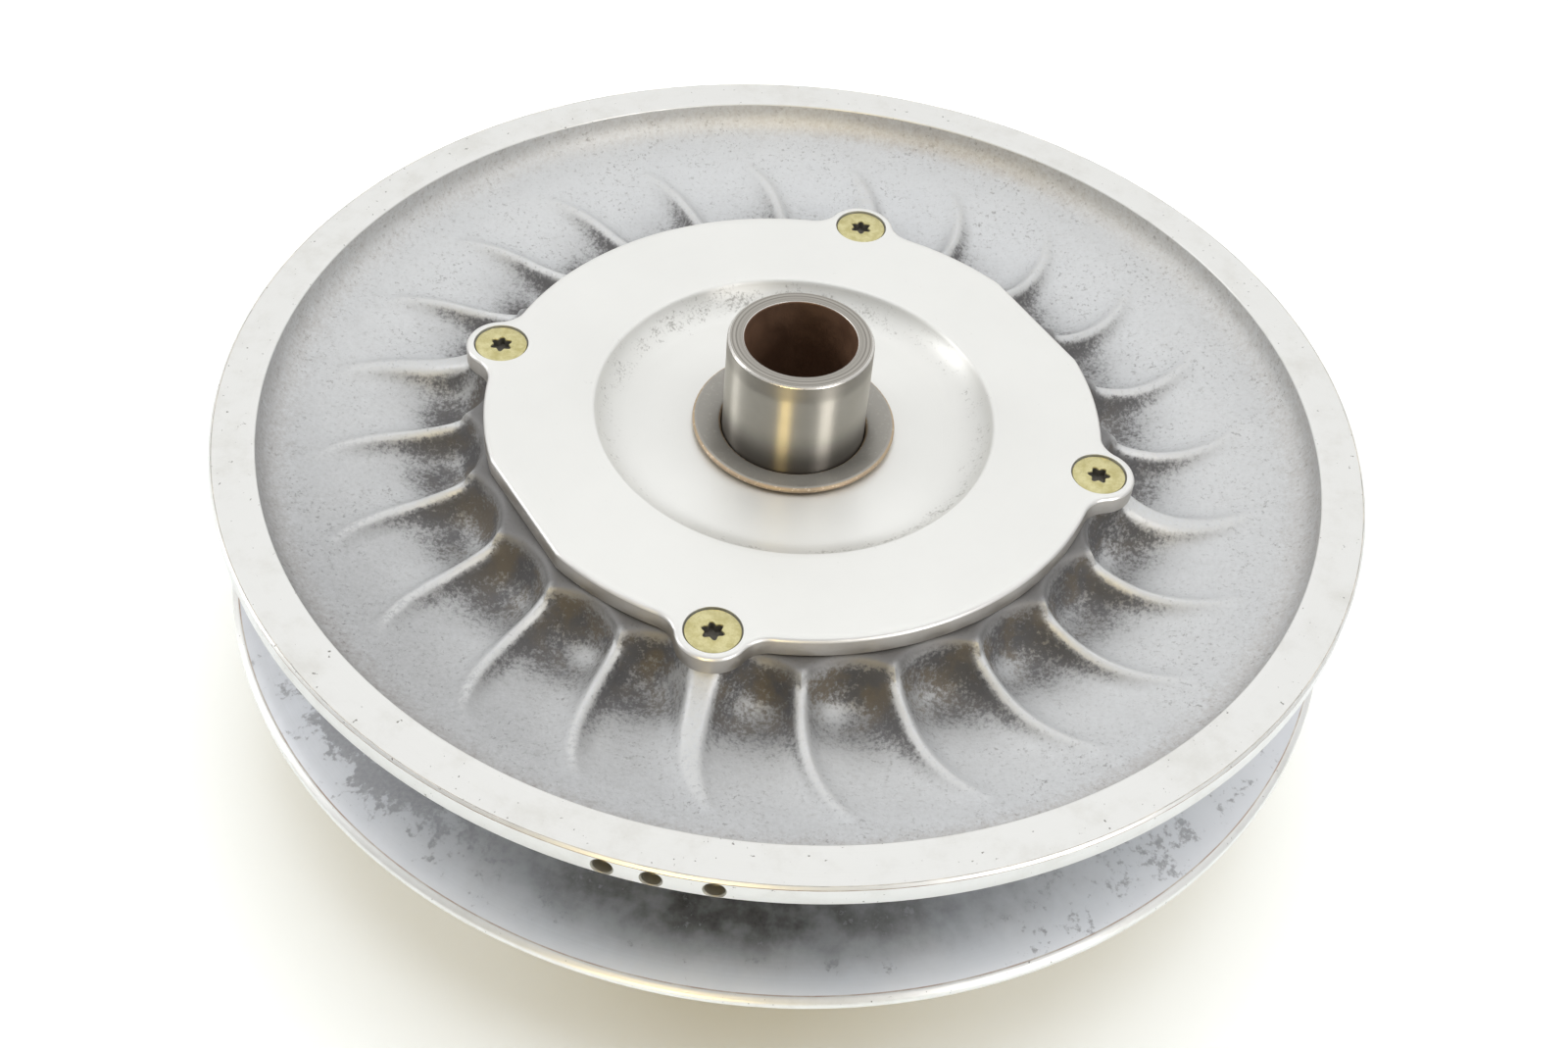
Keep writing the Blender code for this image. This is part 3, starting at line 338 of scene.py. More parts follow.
def soft_positive(value, rounding):
    """Zero below zero and value above it, with a rounded bend between."""
    return rounding * np.logaddexp(0, value / rounding)


def fade(value, start, end):
    """0 at start, 1 at end, smooth between."""
    share = np.clip((value - start) / (end - start), 0, 1)
    return share * share * (3 - 2 * share)


def bell(value, middle, width):
    """1 at the middle, falling to nothing on both sides."""
    return np.exp(-(((value - middle) / width) ** 2))


def round_hump(angle, middle, width):
    """A bell round the axis; middle and width are in degrees."""
    return bell((np.degrees(angle) - middle + 180) % 360 - 180, 0.0, width)


def spaced(zones, end):
    """Radii across zones, each given by its start and its spacing."""
    stops = [start for start, _ in zones[1:]] + [end]
    return np.concatenate([np.arange(start, stop, gap) for (start, gap), stop in zip(zones, stops)])


def arc(centre, radius, start, end, steps):
    angles = np.linspace(start, end, steps + 1)
    return [(centre[0] + radius * math.cos(a), centre[1] + radius * math.sin(a)) for a in angles]


def polar(radius, angle):
    return radius * math.cos(angle), radius * math.sin(angle)


def rounded(corners):
    """Closed outline of (radius, height) corners with every corner rounded a little."""
    outline = []
    for before, corner, after in zip(corners[-1:] + corners[:-1], corners, corners[1:] + corners[:1]):
        point = Vector(corner)
        back = Vector(before) - point
        on = Vector(after) - point
        if point.x == 0:
            outline.append(point)
            continue
        start = point + back.normalized() * min(EDGE, ROUNDING_SHARE * back.length)
        end = point + on.normalized() * min(EDGE, ROUNDING_SHARE * on.length)
        for i in range(ROUNDING_STEPS + 1):
            share = i / ROUNDING_STEPS
            outline.append(start.lerp(point, share).lerp(point.lerp(end, share), share))
    return outline


def new_piece(name, mesh):
    piece = bpy.data.objects.new(name, mesh)
    bpy.context.scene.collection.objects.link(piece)
    return piece


def skin(name, points, closed=True, bands=None):
    """Piece made of rows of points that run once round; bands gives each row's material."""
    rows, columns = points.shape[:2]
    index = np.arange(rows * columns).reshape(rows, columns)
    here = index if closed else index[:-1]
    there = np.roll(index, -1, axis=0) if closed else index[1:]
    quads = np.stack([here, there, np.roll(there, -1, axis=1), np.roll(here, -1, axis=1)], axis=-1)
    mesh = bpy.data.meshes.new(name)
    mesh.from_pydata(points.reshape(-1, 3).tolist(), [], quads.reshape(-1, 4).tolist())
    if bands is not None:
        mesh.polygons.foreach_set("material_index", np.repeat(bands[: len(here)], columns).astype(np.int32))
    edit = bmesh.new()
    edit.from_mesh(mesh)
    bmesh.ops.remove_doubles(edit, verts=edit.verts, dist=WELD)
    loose = [edge for edge in edit.edges if not edge.link_faces]
    bmesh.ops.delete(edit, geom=loose, context="EDGES")
    bmesh.ops.recalc_face_normals(edit, faces=edit.faces)
    edit.to_mesh(mesh)
    edit.free()
    return new_piece(name, mesh)


def around(radii, angles, heights):
    """Points at the given radii, angles and heights about Z."""
    return np.stack(np.broadcast_arrays(radii * np.cos(angles), radii * np.sin(angles), heights), axis=-1)


def round_steps(steps):
    return np.arange(steps) * TURN / steps


def spun(outline, steps):
    """Rows of points of an outline turned about Z."""
    outline = np.array(outline)
    return around(outline[:, :1], round_steps(steps), outline[:, 1:])


def laid_out(stretches, looks):
    """Points of an outline's stretches, and the number of each point's look among a piece's looks."""
    points = [point for _, stretch in stretches for point in stretch]
    numbers = [looks.index(look) for look, stretch in stretches for _ in stretch]
    return points, np.array(numbers)


def turned(name, corners, steps):
    return skin(name, spun(rounded(corners), steps))


def ring(name, inner, outer, bottom, top, steps):
    return turned(name, [(inner, top), (outer, top), (outer, bottom), (inner, bottom)], steps)


def fine_ring(node, inner, outer):
    """Plain ring as tall as a node of the solids."""
    return ring("fine_" + node, inner, outer, low(node), high(node), MEDIUM_STEPS)


def cut(piece, cutter):
    """Takes a cutter's shape out of a piece."""
    modifier = piece.modifiers.new("cut", "BOOLEAN")
    modifier.operation = "DIFFERENCE"
    modifier.solver = "EXACT"
    modifier.object = cutter
    graph = bpy.context.evaluated_depsgraph_get()
    piece.data = bpy.data.meshes.new_from_object(piece.evaluated_get(graph))
    piece.modifiers.clear()
    bpy.data.objects.remove(cutter)


def repeated(piece, places):
    """One object holding a copy of the piece's mesh at every place."""
    edit = bmesh.new()
    for place in places:
        copy = piece.data.copy()
        copy.transform(place)
        edit.from_mesh(copy)
        bpy.data.meshes.remove(copy)
    edit.to_mesh(piece.data)
    edit.free()
    return piece


def round_places(count, first_angle, place):
    return [Matrix.Rotation(first_angle + TURN * i / count, 4, "Z") @ place for i in range(count)]


def finish(piece, body, slot, node, *looks):
    """Smooths a piece, gives it its looks and puts it on its body in the node's place."""
    for look in looks:
        piece.data.materials.append(look)
    piece.data.shade_smooth()
    piece.data.set_sharp_from_angle(angle=SMOOTH_BELOW)
    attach(piece, body)
    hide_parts(node)


def paint(piece, name, values):
    """Stores one number for every point of the piece, for its material."""
    layer = piece.data.attributes.new(name, "FLOAT", "POINT")
    layer.data.foreach_set("value", np.asarray(values, np.float32))


def places_of(piece):
    """Radius, angle and height of every point of a piece."""
    flat = np.empty(len(piece.data.vertices) * 3, np.float32)
    piece.data.vertices.foreach_get("co", flat)
    x, y, z = flat.reshape(-1, 3).T.astype(float)
    return np.hypot(x, y), np.arctan2(y, x) % TURN, z


def assign(piece, rule):
    """Gives each face the material whose number the rule works out from its radius and height."""
    flat = np.empty(len(piece.data.polygons) * 3, np.float32)
    piece.data.polygons.foreach_get("center", flat)
    x, y, z = flat.reshape(-1, 3).T
    piece.data.polygons.foreach_set("material_index", rule(np.hypot(x, y), z).astype(np.int32))


def wire(tree, socket, value):
    """Links a socket to another one, or sets it to a number or colour."""
    if isinstance(value, bpy.types.NodeSocket):
        tree.links.new(value, socket)
    elif socket.type == "RGBA":
        socket.default_value = (*value, 1.0)
    else:
        socket.default_value = value


def add_node(tree, kind, inputs=None, **settings):
    node = tree.nodes.new("ShaderNode" + kind)
    for key, value in settings.items():
        setattr(node, key, value)
    for key, value in (inputs or {}).items():
        wire(tree, node.inputs[key], value)
    return node


def math_node(tree, operation, a, b=0.0, c=0.0):
    return add_node(tree, "Math", {0: a, 1: b, 2: c}, operation=operation).outputs[0]


def smooth_ramp(tree, value, start, end, first=0.0, last=1.0):
    """First while the value is below start, last once it is past end, smooth between."""
    inputs = {"Value": value, "From Min": start, "From Max": end, "To Min": first, "To Max": last}
    return add_node(tree, "MapRange", inputs, interpolation_type="SMOOTHSTEP").outputs["Result"]


def mixed_colour(tree, share, first, second):
    return add_node(tree, "Mix", {0: share, 6: first, 7: second}, data_type="RGBA").outputs[2]


class Look:
    """A material under construction: adds shader nodes and wires them up."""

    def __init__(self, name, **constants):
        self.material = bpy.data.materials.new(name)
        self.material.use_nodes = True
        self.tree = self.material.node_tree
        self.shader = self.tree.nodes["Principled BSDF"]
        for key, value in constants.items():
            self.shader.inputs[key.replace("_", " ")].default_value = value
        self.place = self.add("TexCoord").outputs["Object"]
        parts = self.add("SeparateXYZ", {"Vector": self.place}).outputs
        x, y, self.z = parts["X"], parts["Y"], parts["Z"]
        self.radius = self.math("SQRT", self.math("ADD", self.times(x, x), self.times(y, y)))

    def add(self, kind, inputs=None, **settings):
        return add_node(self.tree, kind, inputs, **settings)

    def math(self, *terms):
        return math_node(self.tree, *terms)

    def times(self, a, b):
        return self.math("MULTIPLY", a, b)

    def noise(self, size, detail=3.0, roughness=0.6):
        """Noise with features of a given size in metres."""
        inputs = {"Vector": self.place, "Scale": 1 / size, "Detail": detail, "Roughness": roughness}
        return self.add("TexNoise", inputs).outputs["Fac"]

    def lines(self, along, size):
        """Noise of one coordinate, for turning marks."""
        inputs = {"W": along, "Scale": 1 / size, "Detail": 4.0, "Roughness": 0.7}
        return self.add("TexNoise", inputs, noise_dimensions="1D").outputs["Fac"]

    def ramp(self, *terms):
        return smooth_ramp(self.tree, *terms)

    def blend(self, share, first, second):
        return mixed_colour(self.tree, share, first, second)

    def over(self, base, share, strength, colour):
        """The base with a colour laid over it, by a share held to a strength."""
        return self.blend(self.times(share, strength), base, colour)

    def mottle(self, *layers):
        """Sum of noises about zero, each given by its size and share."""
        total = 0.0
        for size, share in layers:
            about_zero = self.math("SUBTRACT", self.noise(size, 3.0, 0.7), 0.5)
            total = self.math("MULTIPLY_ADD", about_zero, 2 * share, total)
        return total

    def painted(self, name):
        return self.add("Attribute", attribute_name=name).outputs["Fac"]

    def bump(self, height, depth, under=None):
        inputs = {"Height": height, "Strength": 1.0, "Distance": depth}
        if under:
            inputs["Normal"] = under
        return self.add("Bump", inputs).outputs["Normal"]

    def set(self, **links):
        for key, value in links.items():
            wire(self.tree, self.shader.inputs[key.replace("_", " ")], value)
        return self

    def turned_round(self):
        """Draws the gloss out across turning marks."""
        tangent = self.add("Tangent", direction_type="RADIAL", axis="Z").outputs["Tangent"]
        return self.set(Tangent=tangent, Anisotropic_Rotation=0.25)


def cast_look():
    """As-cast aluminium with pits, speckled soot and painted shade in the corners, and bright worn fin
    tops.
    """
    look = Look("cast_aluminium_worn")
    cloud = look.noise(30 * MM, 4.0)
    base = look.blend(cloud, (0.665, 0.68, 0.695), (0.74, 0.75, 0.755))
    dense = look.ramp(look.noise(14 * MM), 0.35, 0.7, 0.22, 0.8)
    pits = look.ramp(look.noise(1.1 * MM, 3.0, 0.75), 0.55, 0.68)
    base = look.over(base, pits, dense, (0.34, 0.34, 0.34))
    specks = look.mottle((0.9 * MM, 0.9), (1.9 * MM, 0.5), (6 * MM, 0.36))
    # Brown rim stains, with painted shade where the rim hides the web at the front.
    stain_and_rim_shade = look.ramp(look.math("MULTIPLY_ADD", specks, 0.35, look.painted("stain")), 0.0, 1.0)
    base = look.over(base, stain_and_rim_shade, 0.8, (0.40, 0.33, 0.27))
    # Soot with painted shade: first a smooth dark film, together with the dull film and the ledge's painted
    # shade, then dark specks.
    painted = look.painted("soot_and_shade")
    dulled = look.math("ADD", painted, look.painted("dull_and_shade"))
    film_and_shade = look.ramp(look.math("MULTIPLY_ADD", specks, 0.14, dulled), -0.15, 0.95)
    base = look.over(base, film_and_shade, 0.84, (0.145, 0.14, 0.138))
    uneven = look.math("MULTIPLY_ADD", specks, 1.8, 1.0)
    level = look.math("MULTIPLY_ADD", painted, uneven, look.times(specks, 0.12))
    soot_and_shade = look.ramp(level, 0.24, 0.86)
    brown = look.times(look.painted("rust"), look.ramp(look.noise(9 * MM), 0.40, 0.62))
    # Colour of the soot and of the painted shade laid with it, browner where there is rust.
    soot_and_shade_colour = look.blend(brown, (0.060, 0.058, 0.060), (0.115, 0.088, 0.052))
    colour = look.over(base, soot_and_shade, 0.8, soot_and_shade_colour)
    worn = look.ramp(look.noise(1.3 * MM, 3.0, 0.75), 0.40, 0.54)
    crest = look.times(look.painted("crest"), worn)
    colour = look.over(colour, crest, 0.75, (0.66, 0.665, 0.66))
    look.set(Base_Color=colour)
    look.set(Metallic=look.ramp(soot_and_shade, 0.0, 1.0, 0.85, 0.3))
    look.set(Roughness=look.ramp(look.math("SUBTRACT", soot_and_shade, crest), -1.0, 1.0, 0.56, 0.66))
    grain = look.bump(look.noise(0.9 * MM, 3.0, 0.7), 0.07 * MM)
    return look.set(Normal=look.bump(look.noise(5 * MM, 2.0), 0.15 * MM, grain)).material


def rim_look(name, light, dark):
    """Turned aluminium with faint rings, small pits and stains."""
    look = Look(name, Metallic=0.85, Anisotropic=0.4)
    rings = look.lines(look.radius, 0.35 * MM)
    stain = look.ramp(look.noise(14 * MM, 5.0, 0.7), 0.45, 0.75)
    pit = look.ramp(look.noise(1.3 * MM, 2.0, 0.6), 0.24, 0.30)
    colour = look.over(light, stain, 0.55, dark)
    colour = look.blend(pit, (0.25, 0.24, 0.22), colour)
    look.set(Base_Color=colour)
    look.set(Roughness=look.ramp(rings, 0.2, 0.8, 0.34, 0.46))
    return look.set(Normal=look.bump(rings, 0.02 * MM)).turned_round().material


def line_look(name, colour):
    """Thin dirt line along a turned edge, broken by noise."""
    look = Look(name, Metallic=0.3, Roughness=0.6)
    share = look.ramp(look.noise(6 * MM, 4.0), 0.3, 0.7)
    return look.set(Base_Color=look.blend(share, colour, (0.62, 0.58, 0.52))).material


def belt_face_look(name, patchy):
    """Belt face: bluish grey rubbed metal, with dark oxide in ragged patches, a darker film that is partly
    painted shade, and painted shade under the moving sheave's rim, each where it is painted so.
    """
    look = Look(name, Metallic=0.8, Anisotropic=0.3)
    rings = look.lines(look.radius, 0.5 * MM)
    cloud = look.noise(22 * MM, 4.0)
    colour = look.blend(cloud, (0.68, 0.70, 0.73), (0.78, 0.79, 0.81))
    if patchy:
        dulled = look.ramp(look.noise(7 * MM, 4.0), 0.25, 0.75, 0.7, 1.0)
        # A darker film on the left that is partly painted shade, and painted shade under the moving
        # sheave's rim.
        colour = look.over(colour, look.painted("film_and_shade"), dulled, (0.40, 0.41, 0.43))
        colour = look.over(colour, look.painted("shade"), dulled, (0.055, 0.051, 0.043))
        ragged = look.math("ADD", look.painted("oxide"), look.mottle((1.6 * MM, 0.7), (7 * MM, 0.9)))
        patch = look.ramp(ragged, 0.50, 0.78)
        inside = look.blend(look.noise(1.0 * MM), (0.20, 0.20, 0.21), (0.40, 0.40, 0.41))
        colour = look.over(colour, patch, 0.8, inside)
        look.set(Metallic=look.ramp(patch, 0.0, 1.0, 0.8, 0.35))
    look.set(Base_Color=colour)
    look.set(Roughness=look.ramp(cloud, 0.3, 0.7, 0.36, 0.46))
    return look.set(Normal=look.bump(rings, 0.015 * MM)).turned_round().material


def cover_look():
    """Machined plate with fine rings, a cloudy tint and speckled wear round the recess."""
    look = Look("cover_machined", Metallic=0.6, Anisotropic=0.4)
    rings = look.lines(look.radius, 0.4 * MM)
    cloud = look.noise(25 * MM, 4.0)
    base = look.blend(cloud, (0.68, 0.68, 0.657), (0.735, 0.735, 0.71))
    specks = look.mottle((0.7 * MM, 0.9), (4 * MM, 0.8))
    wear = look.ramp(look.math("ADD", look.painted("wear"), specks), 0.50, 1.05)
    look.set(Base_Color=look.over(base, wear, 0.75, (0.26, 0.25, 0.23)))
    look.set(Roughness=look.ramp(rings, 0.2, 0.8, 0.33, 0.43))
    return look.set(Normal=look.bump(rings, 0.015 * MM)).turned_round().material


def edge_highlight_look():
    """Bright machined edge, its extra brightness partly a painted highlight."""
    look = Look("machined_edge_highlight", Metallic=0.9)
    share = look.noise(12 * MM, 4.0)
    look.set(Base_Color=look.blend(share, (0.74, 0.73, 0.71), (0.86, 0.85, 0.83)))
    return look.set(Roughness=look.ramp(share, 0.3, 0.7, 0.34, 0.42)).material


def plain_metal_look(name, light, dark, roughness, metallic=1.0):
    """Plain metal with cloudy colour and fine marks."""
    look = Look(name, Metallic=metallic)
    cloud = look.noise(9 * MM, 5.0, 0.65)
    marks = look.noise(0.8 * MM, 3.0, 0.7)
    look.set(Base_Color=look.blend(cloud, dark, light))
    look.set(Roughness=look.ramp(marks, 0.25, 0.75, roughness - 0.06, roughness + 0.08))
    return look.set(Normal=look.bump(marks, 0.02 * MM)).material


def post_look():
    """Ground steel, browned by heat, with painted shade towards its foot; its gloss is drawn out along the
    post.
    """
    look = Look("post_ground_steel", Metallic=1.0, Anisotropic=1.0)
    rings = look.lines(look.z, 0.3 * MM)
    cloud = look.noise(9 * MM, 4.0)
    base = look.blend(cloud, (0.43, 0.41, 0.355), (0.545, 0.525, 0.47))
    # Painted shade darkens the post towards its foot.
    foot = look.ramp(look.z, HUB_TOP + 2 * MM, HUB_TOP + 12.5 * MM, 0.85, 0.0)
    head = look.ramp(look.z, POST_TOP - 6 * MM, POST_TOP - 3 * MM)
    base = look.over(base, head, 0.4, (0.33, 0.31, 0.28))
    look.set(Base_Color=look.blend(foot, base, (0.10, 0.09, 0.08)))
    dulled = look.times(head, 0.25)
    look.set(Roughness=look.math("ADD", dulled, look.ramp(rings, 0.2, 0.8, 0.38, 0.46)))
    return look.set(Normal=look.bump(rings, 0.006 * MM)).turned_round().material


def post_end_look():
    """The post's turned end, with rings."""
    look = Look("post_turned_end", Metallic=1.0, Anisotropic=0.5)
    rings = look.lines(look.radius, 0.45 * MM)
    look.set(Base_Color=look.blend(look.ramp(rings, 0.3, 0.7), (0.27, 0.255, 0.23), (0.50, 0.475, 0.43)))
    look.set(Roughness=0.36)
    return look.set(Normal=look.bump(rings, 0.05 * MM)).turned_round().material


def bore_look():
    """Dry rust inside the post."""
    look = Look("bore_rust", Metallic=0.35)
    cloud = look.noise(6 * MM, 5.0, 0.7)
    look.set(Base_Color=look.blend(cloud, (0.10, 0.055, 0.035), (0.22, 0.125, 0.075)))
    look.set(Roughness=look.ramp(cloud, 0.3, 0.7, 0.45, 0.7))
    return look.set(Normal=look.bump(look.noise(1.2 * MM, 4.0), 0.08 * MM)).material


def bushing_look(name, light, dark, spot):
    """Worn bearing metal with specks of bare bronze."""
    look = Look(name, Metallic=0.6)
    cloud = look.noise(8 * MM, 4.0)
    speck = look.ramp(look.noise(0.9 * MM, 3.0, 0.7), 0.56, 0.66)
    colour = look.blend(cloud, dark, light)
    look.set(Base_Color=look.over(colour, speck, 0.6, spot))
    look.set(Roughness=look.ramp(cloud, 0.3, 0.7, 0.34, 0.48))
    return look.set(Normal=look.bump(look.noise(0.7 * MM), 0.02 * MM)).material


def zinc_look():
    """Yellow zinc plate with a cloudy tint."""
    look = Look("yellow_zinc_plate", Metallic=0.8)
    cloud = look.noise(2.5 * MM, 5.0, 0.7)
    colour = look.blend(look.ramp(cloud, 0.3, 0.7), (0.48, 0.43, 0.195), (0.67, 0.625, 0.355))
    marks = look.ramp(look.mottle((0.5 * MM, 0.6), (2 * MM, 0.5)), 0.22, 0.5)
    look.set(Base_Color=look.over(colour, marks, 0.6, (0.20, 0.18, 0.10)))
    look.set(Roughness=look.ramp(cloud, 0.3, 0.7, 0.34, 0.50))
    return look.set(Normal=look.bump(look.noise(0.5 * MM), 0.02 * MM)).material


def socket_shade_look():
    """Near-black inside the screws' sockets: painted shade."""
    look = Look("socket_shade", Metallic=0.1, Roughness=0.75)
    cloud = look.noise(0.8 * MM, 4.0)
    return look.set(Base_Color=look.blend(cloud, (0.035, 0.032, 0.028), (0.13, 0.12, 0.10))).material


def plastic_look(name, light, dark):
    """Moulded plastic with a faint mottle."""
    look = Look(name)
    cloud = look.noise(3 * MM, 4.0)
    look.set(Base_Color=look.blend(cloud, dark, light))
    look.set(Roughness=look.ramp(cloud, 0.3, 0.7, 0.48, 0.60))
    return look.set(Normal=look.bump(look.noise(0.6 * MM, 2.0), 0.02 * MM)).material


CAST = cast_look()
RIM = rim_look("rim_turned", (0.775, 0.775, 0.755), (0.645, 0.635, 0.595))
# The rim's outer side: a darker copy of the rim's turned look, painted shade.
RIM_SIDE_SHADED = rim_look("rim_side_turned_shaded", (0.73, 0.73, 0.72), (0.59, 0.58, 0.55))
GREY_LINE = line_look("edge_line_grey", (0.40, 0.39, 0.37))
BROWN_LINE = line_look("edge_line_brown", (0.30, 0.17, 0.11))
EDGE_LINE = line_look("edge_line_worn", (0.45, 0.34, 0.28))
BELT_FACE = belt_face_look("belt_face", False)
PATCHY_FACE = belt_face_look("belt_face_oxide", True)
COVER = cover_look()
# Cover's chamfer: bright edge, partly a painted highlight.
MACHINED_EDGE_HIGHLIGHT = edge_highlight_look()
MACHINED = plain_metal_look("machined_aluminium_fine", (0.80, 0.79, 0.77), (0.68, 0.67, 0.65), 0.34)
CAST_BACK = plain_metal_look("cast_aluminium_back", (0.50, 0.505, 0.51), (0.36, 0.365, 0.375), 0.52)
POST = post_look()
POST_END = post_end_look()
# The post's chamfer: bright steel, partly a painted highlight.
POST_EDGE_HIGHLIGHT = plain_metal_look("post_turned_edge_highlight", (0.80, 0.78, 0.74), (0.64, 0.62, 0.58), 0.30)
BORE = bore_look()
BUSHING = bushing_look("bushing_worn", (0.36, 0.345, 0.315), (0.27, 0.26, 0.235), (0.40, 0.38, 0.34))
BRONZE = bushing_look("bushing_bronze", (0.52, 0.40, 0.27), (0.33, 0.25, 0.17), (0.80, 0.68, 0.52))
ZINC = zinc_look()
# Near-black socket colour: painted shade in the screws' sockets.
SOCKET_SHADE = socket_shade_look()
DRILLED = plain_metal_look("drilled_hole", (0.46, 0.43, 0.36), (0.28, 0.26, 0.20), 0.40, 0.35)
COVER_WALL = plain_metal_look("cover_wall", (0.66, 0.645, 0.62), (0.50, 0.475, 0.44), 0.40)
DARK_STEEL = plain_metal_look("spring_steel_oiled", (0.26, 0.27, 0.29), (0.14, 0.145, 0.16), 0.38)
NYLON = plastic_look("nylon_natural", (0.84, 0.82, 0.76), (0.76, 0.73, 0.66))
ROLLER_PLASTIC = plastic_look("roller_filled_plastic", (0.14, 0.13, 0.12), (0.08, 0.075, 0.07))


def screw_pocket(name, length, circle, count, first_angle):
    """Cutter for countersunk holes whose heads sink below z = 0, round a circle."""
    head = SCREW_HEAD_RADIUS + SCREW_GAP
    shank = SCREW_SHANK_RADIUS + SCREW_GAP
    land = SCREW_SINK + SCREW_HEAD_LAND + SCREW_GAP
    bottom = -SCREW_SINK - length - SCREW_GAP
    outline = [
        (0.0, OVERSHOOT),
        (head, OVERSHOOT),
        (head, -land),
        (shank, -land - (head - shank)),
        (shank, bottom),
        (0.0, bottom),
    ]
    pocket = skin(name, spun(outline, SMALL_STEPS))
    return repeated(pocket, round_places(count, first_angle, Matrix.Translation((circle, 0.0, 0.0))))


def cover_pockets(name):
    pockets = screw_pocket(name, tall("cover_screw_1"), COVER_RADIUS, SCREW_COUNT, SCREW_FIRST_ANGLE)
    pockets.data.transform(Matrix.Translation((0.0, 0.0, COVER_TOP)))
    return pockets


def flange_pockets(name):
    pockets = screw_pocket(name, tall("flange_screw_1"), FLANGE_SCREW_CIRCLE, FLANGE_SCREW_COUNT, 0.0)
    pockets.data.transform(Matrix.Rotation(math.pi, 4, "X"))
    return pockets


def along_fin(radius):
    """0 at the hub and 1 at the fins' tips."""
    return np.clip((radius - HUB_RADIUS) / (FIN_TIP_RADIUS - HUB_RADIUS), 0, 1)


def fin_lean(radius):
    """Angle by which a fin's centre line has swept back at a radius."""
    return FIN_SWEEP * along_fin(radius) ** FIN_SWEEP_POWER


def from_screw(angle):
    """Angle to the nearest cover screw."""
    half = TURN / SCREW_COUNT / 2
    return (angle - SCREW_FIRST_ANGLE + half) % (2 * half) - half


def boss_fin(fin):
    """1 for the four fins that run into a screw boss, 0 for the others."""
    angle = FIN_FIRST_ANGLE + TURN * fin / FIN_COUNT
    return (np.abs(from_screw(angle)) < TURN / FIN_COUNT / 3).astype(float)


def fin_half_width(radius, fin):
    width = FIN_ROOT_WIDTH + (FIN_TIP_WIDTH - FIN_ROOT_WIDTH) * along_fin(radius)
    width = width + FIN_FLARE * np.exp(-np.maximum(radius - HUB_LEDGE, 0) / FIN_FLARE_REACH)
    broad = bell(radius, BOSS_FIN_MIDDLE, BOSS_FIN_REACH)
    return (width + BOSS_FIN_WIDTH * broad * boss_fin(fin)) / 2


def between_fins(radius, angle):
    """Number of the fin before a point, and the point's share of the way to the next one."""
    turn = (angle - fin_lean(radius) - FIN_FIRST_ANGLE) / TURN * FIN_COUNT
    before = np.floor(turn)
    return before, turn - before


def nearest_fin(radius, angle):
    before, share = between_fins(radius, angle)
    return before + (share > 0.5)


def to_fin(radius, angle):
    """Distance to the nearest fin's side, below zero on the fin's top."""
    before, share = between_fins(radius, angle)
    pitch = radius * TURN / FIN_COUNT
    left = share * pitch - fin_half_width(radius, before)
    right = (1 - share) * pitch - fin_half_width(radius, before + 1)
    return smooth_min(left, right, FIN_MEETING)


def below_ledge(radius, angle):
    """Distance out from the hub's ledge, which arches over the pockets between the fins."""
    _, share = between_fins(radius, angle)
    return radius - HUB_LEDGE - HUB_ARCH * np.abs(2 * share - 1) ** HUB_ARCH_POWER


def to_boss(radius, angle):
    """Distance to the nearest screw boss."""
    apart = from_screw(angle)
    middle = np.hypot(radius * np.cos(apart) - COVER_RADIUS, radius * np.sin(apart))
    return middle - (LOBE_RADIUS - BOSS_INSET)


def falling(distance, rounding, fillet):
    """1 on a raised form and less beside it, down a hollow side of the given reach."""
    return np.exp(-soft_positive(distance, rounding) / fillet)


def cast_height(radius, angle):
    """Height of the cast side of the moving sheave: the web with its hub, bosses and fins."""
    web = moving_web(radius)
    hub = falling(below_ledge(radius, angle), HUB_ROUNDING, HUB_FILLET)
    boss = falling(to_boss(radius, angle), BOSS_ROUNDING, BOSS_FILLET)
    base = web + (HUB_TOP - web) * (1 - (1 - hub) * (1 - boss))
    share = along_fin(radius)
    root = np.maximum(HUB_TOP - web, 0) * (1 - share) ** FIN_ROOT_FALL
    broad = boss_fin(nearest_fin(radius, angle))
    rise = broad * BOSS_FIN_RISE * np.exp(-np.maximum(radius - BOSS_FIN_MIDDLE, 0) / BOSS_FIN_FALL)
    crest = web + smooth_max(FIN_HEIGHT * (1 - share) ** FIN_CREST_FALL, root, FIN_CREST_BLEND) + rise
    fin = falling(to_fin(radius, angle), FIN_ROUNDING, FIN_FILLET)
    return base + np.maximum(crest - base, 0) * fin


def fin_columns():
    """Angles round the moving sheave before the fins' sweep, closer together at the fins."""
    step = np.arange(COLUMNS_PER_FIN) / COLUMNS_PER_FIN
    step = step - COLUMN_CROWDING / TURN * np.sin(TURN * step)
    fins = np.arange(FIN_COUNT)[:, None] + step[None, :]
    return FIN_FIRST_ANGLE + TURN / FIN_COUNT * fins.ravel()


SHEAVE_LOOKS = (CAST, RIM, RIM_SIDE_SHADED, GREY_LINE, BROWN_LINE, BELT_FACE, DRILLED)


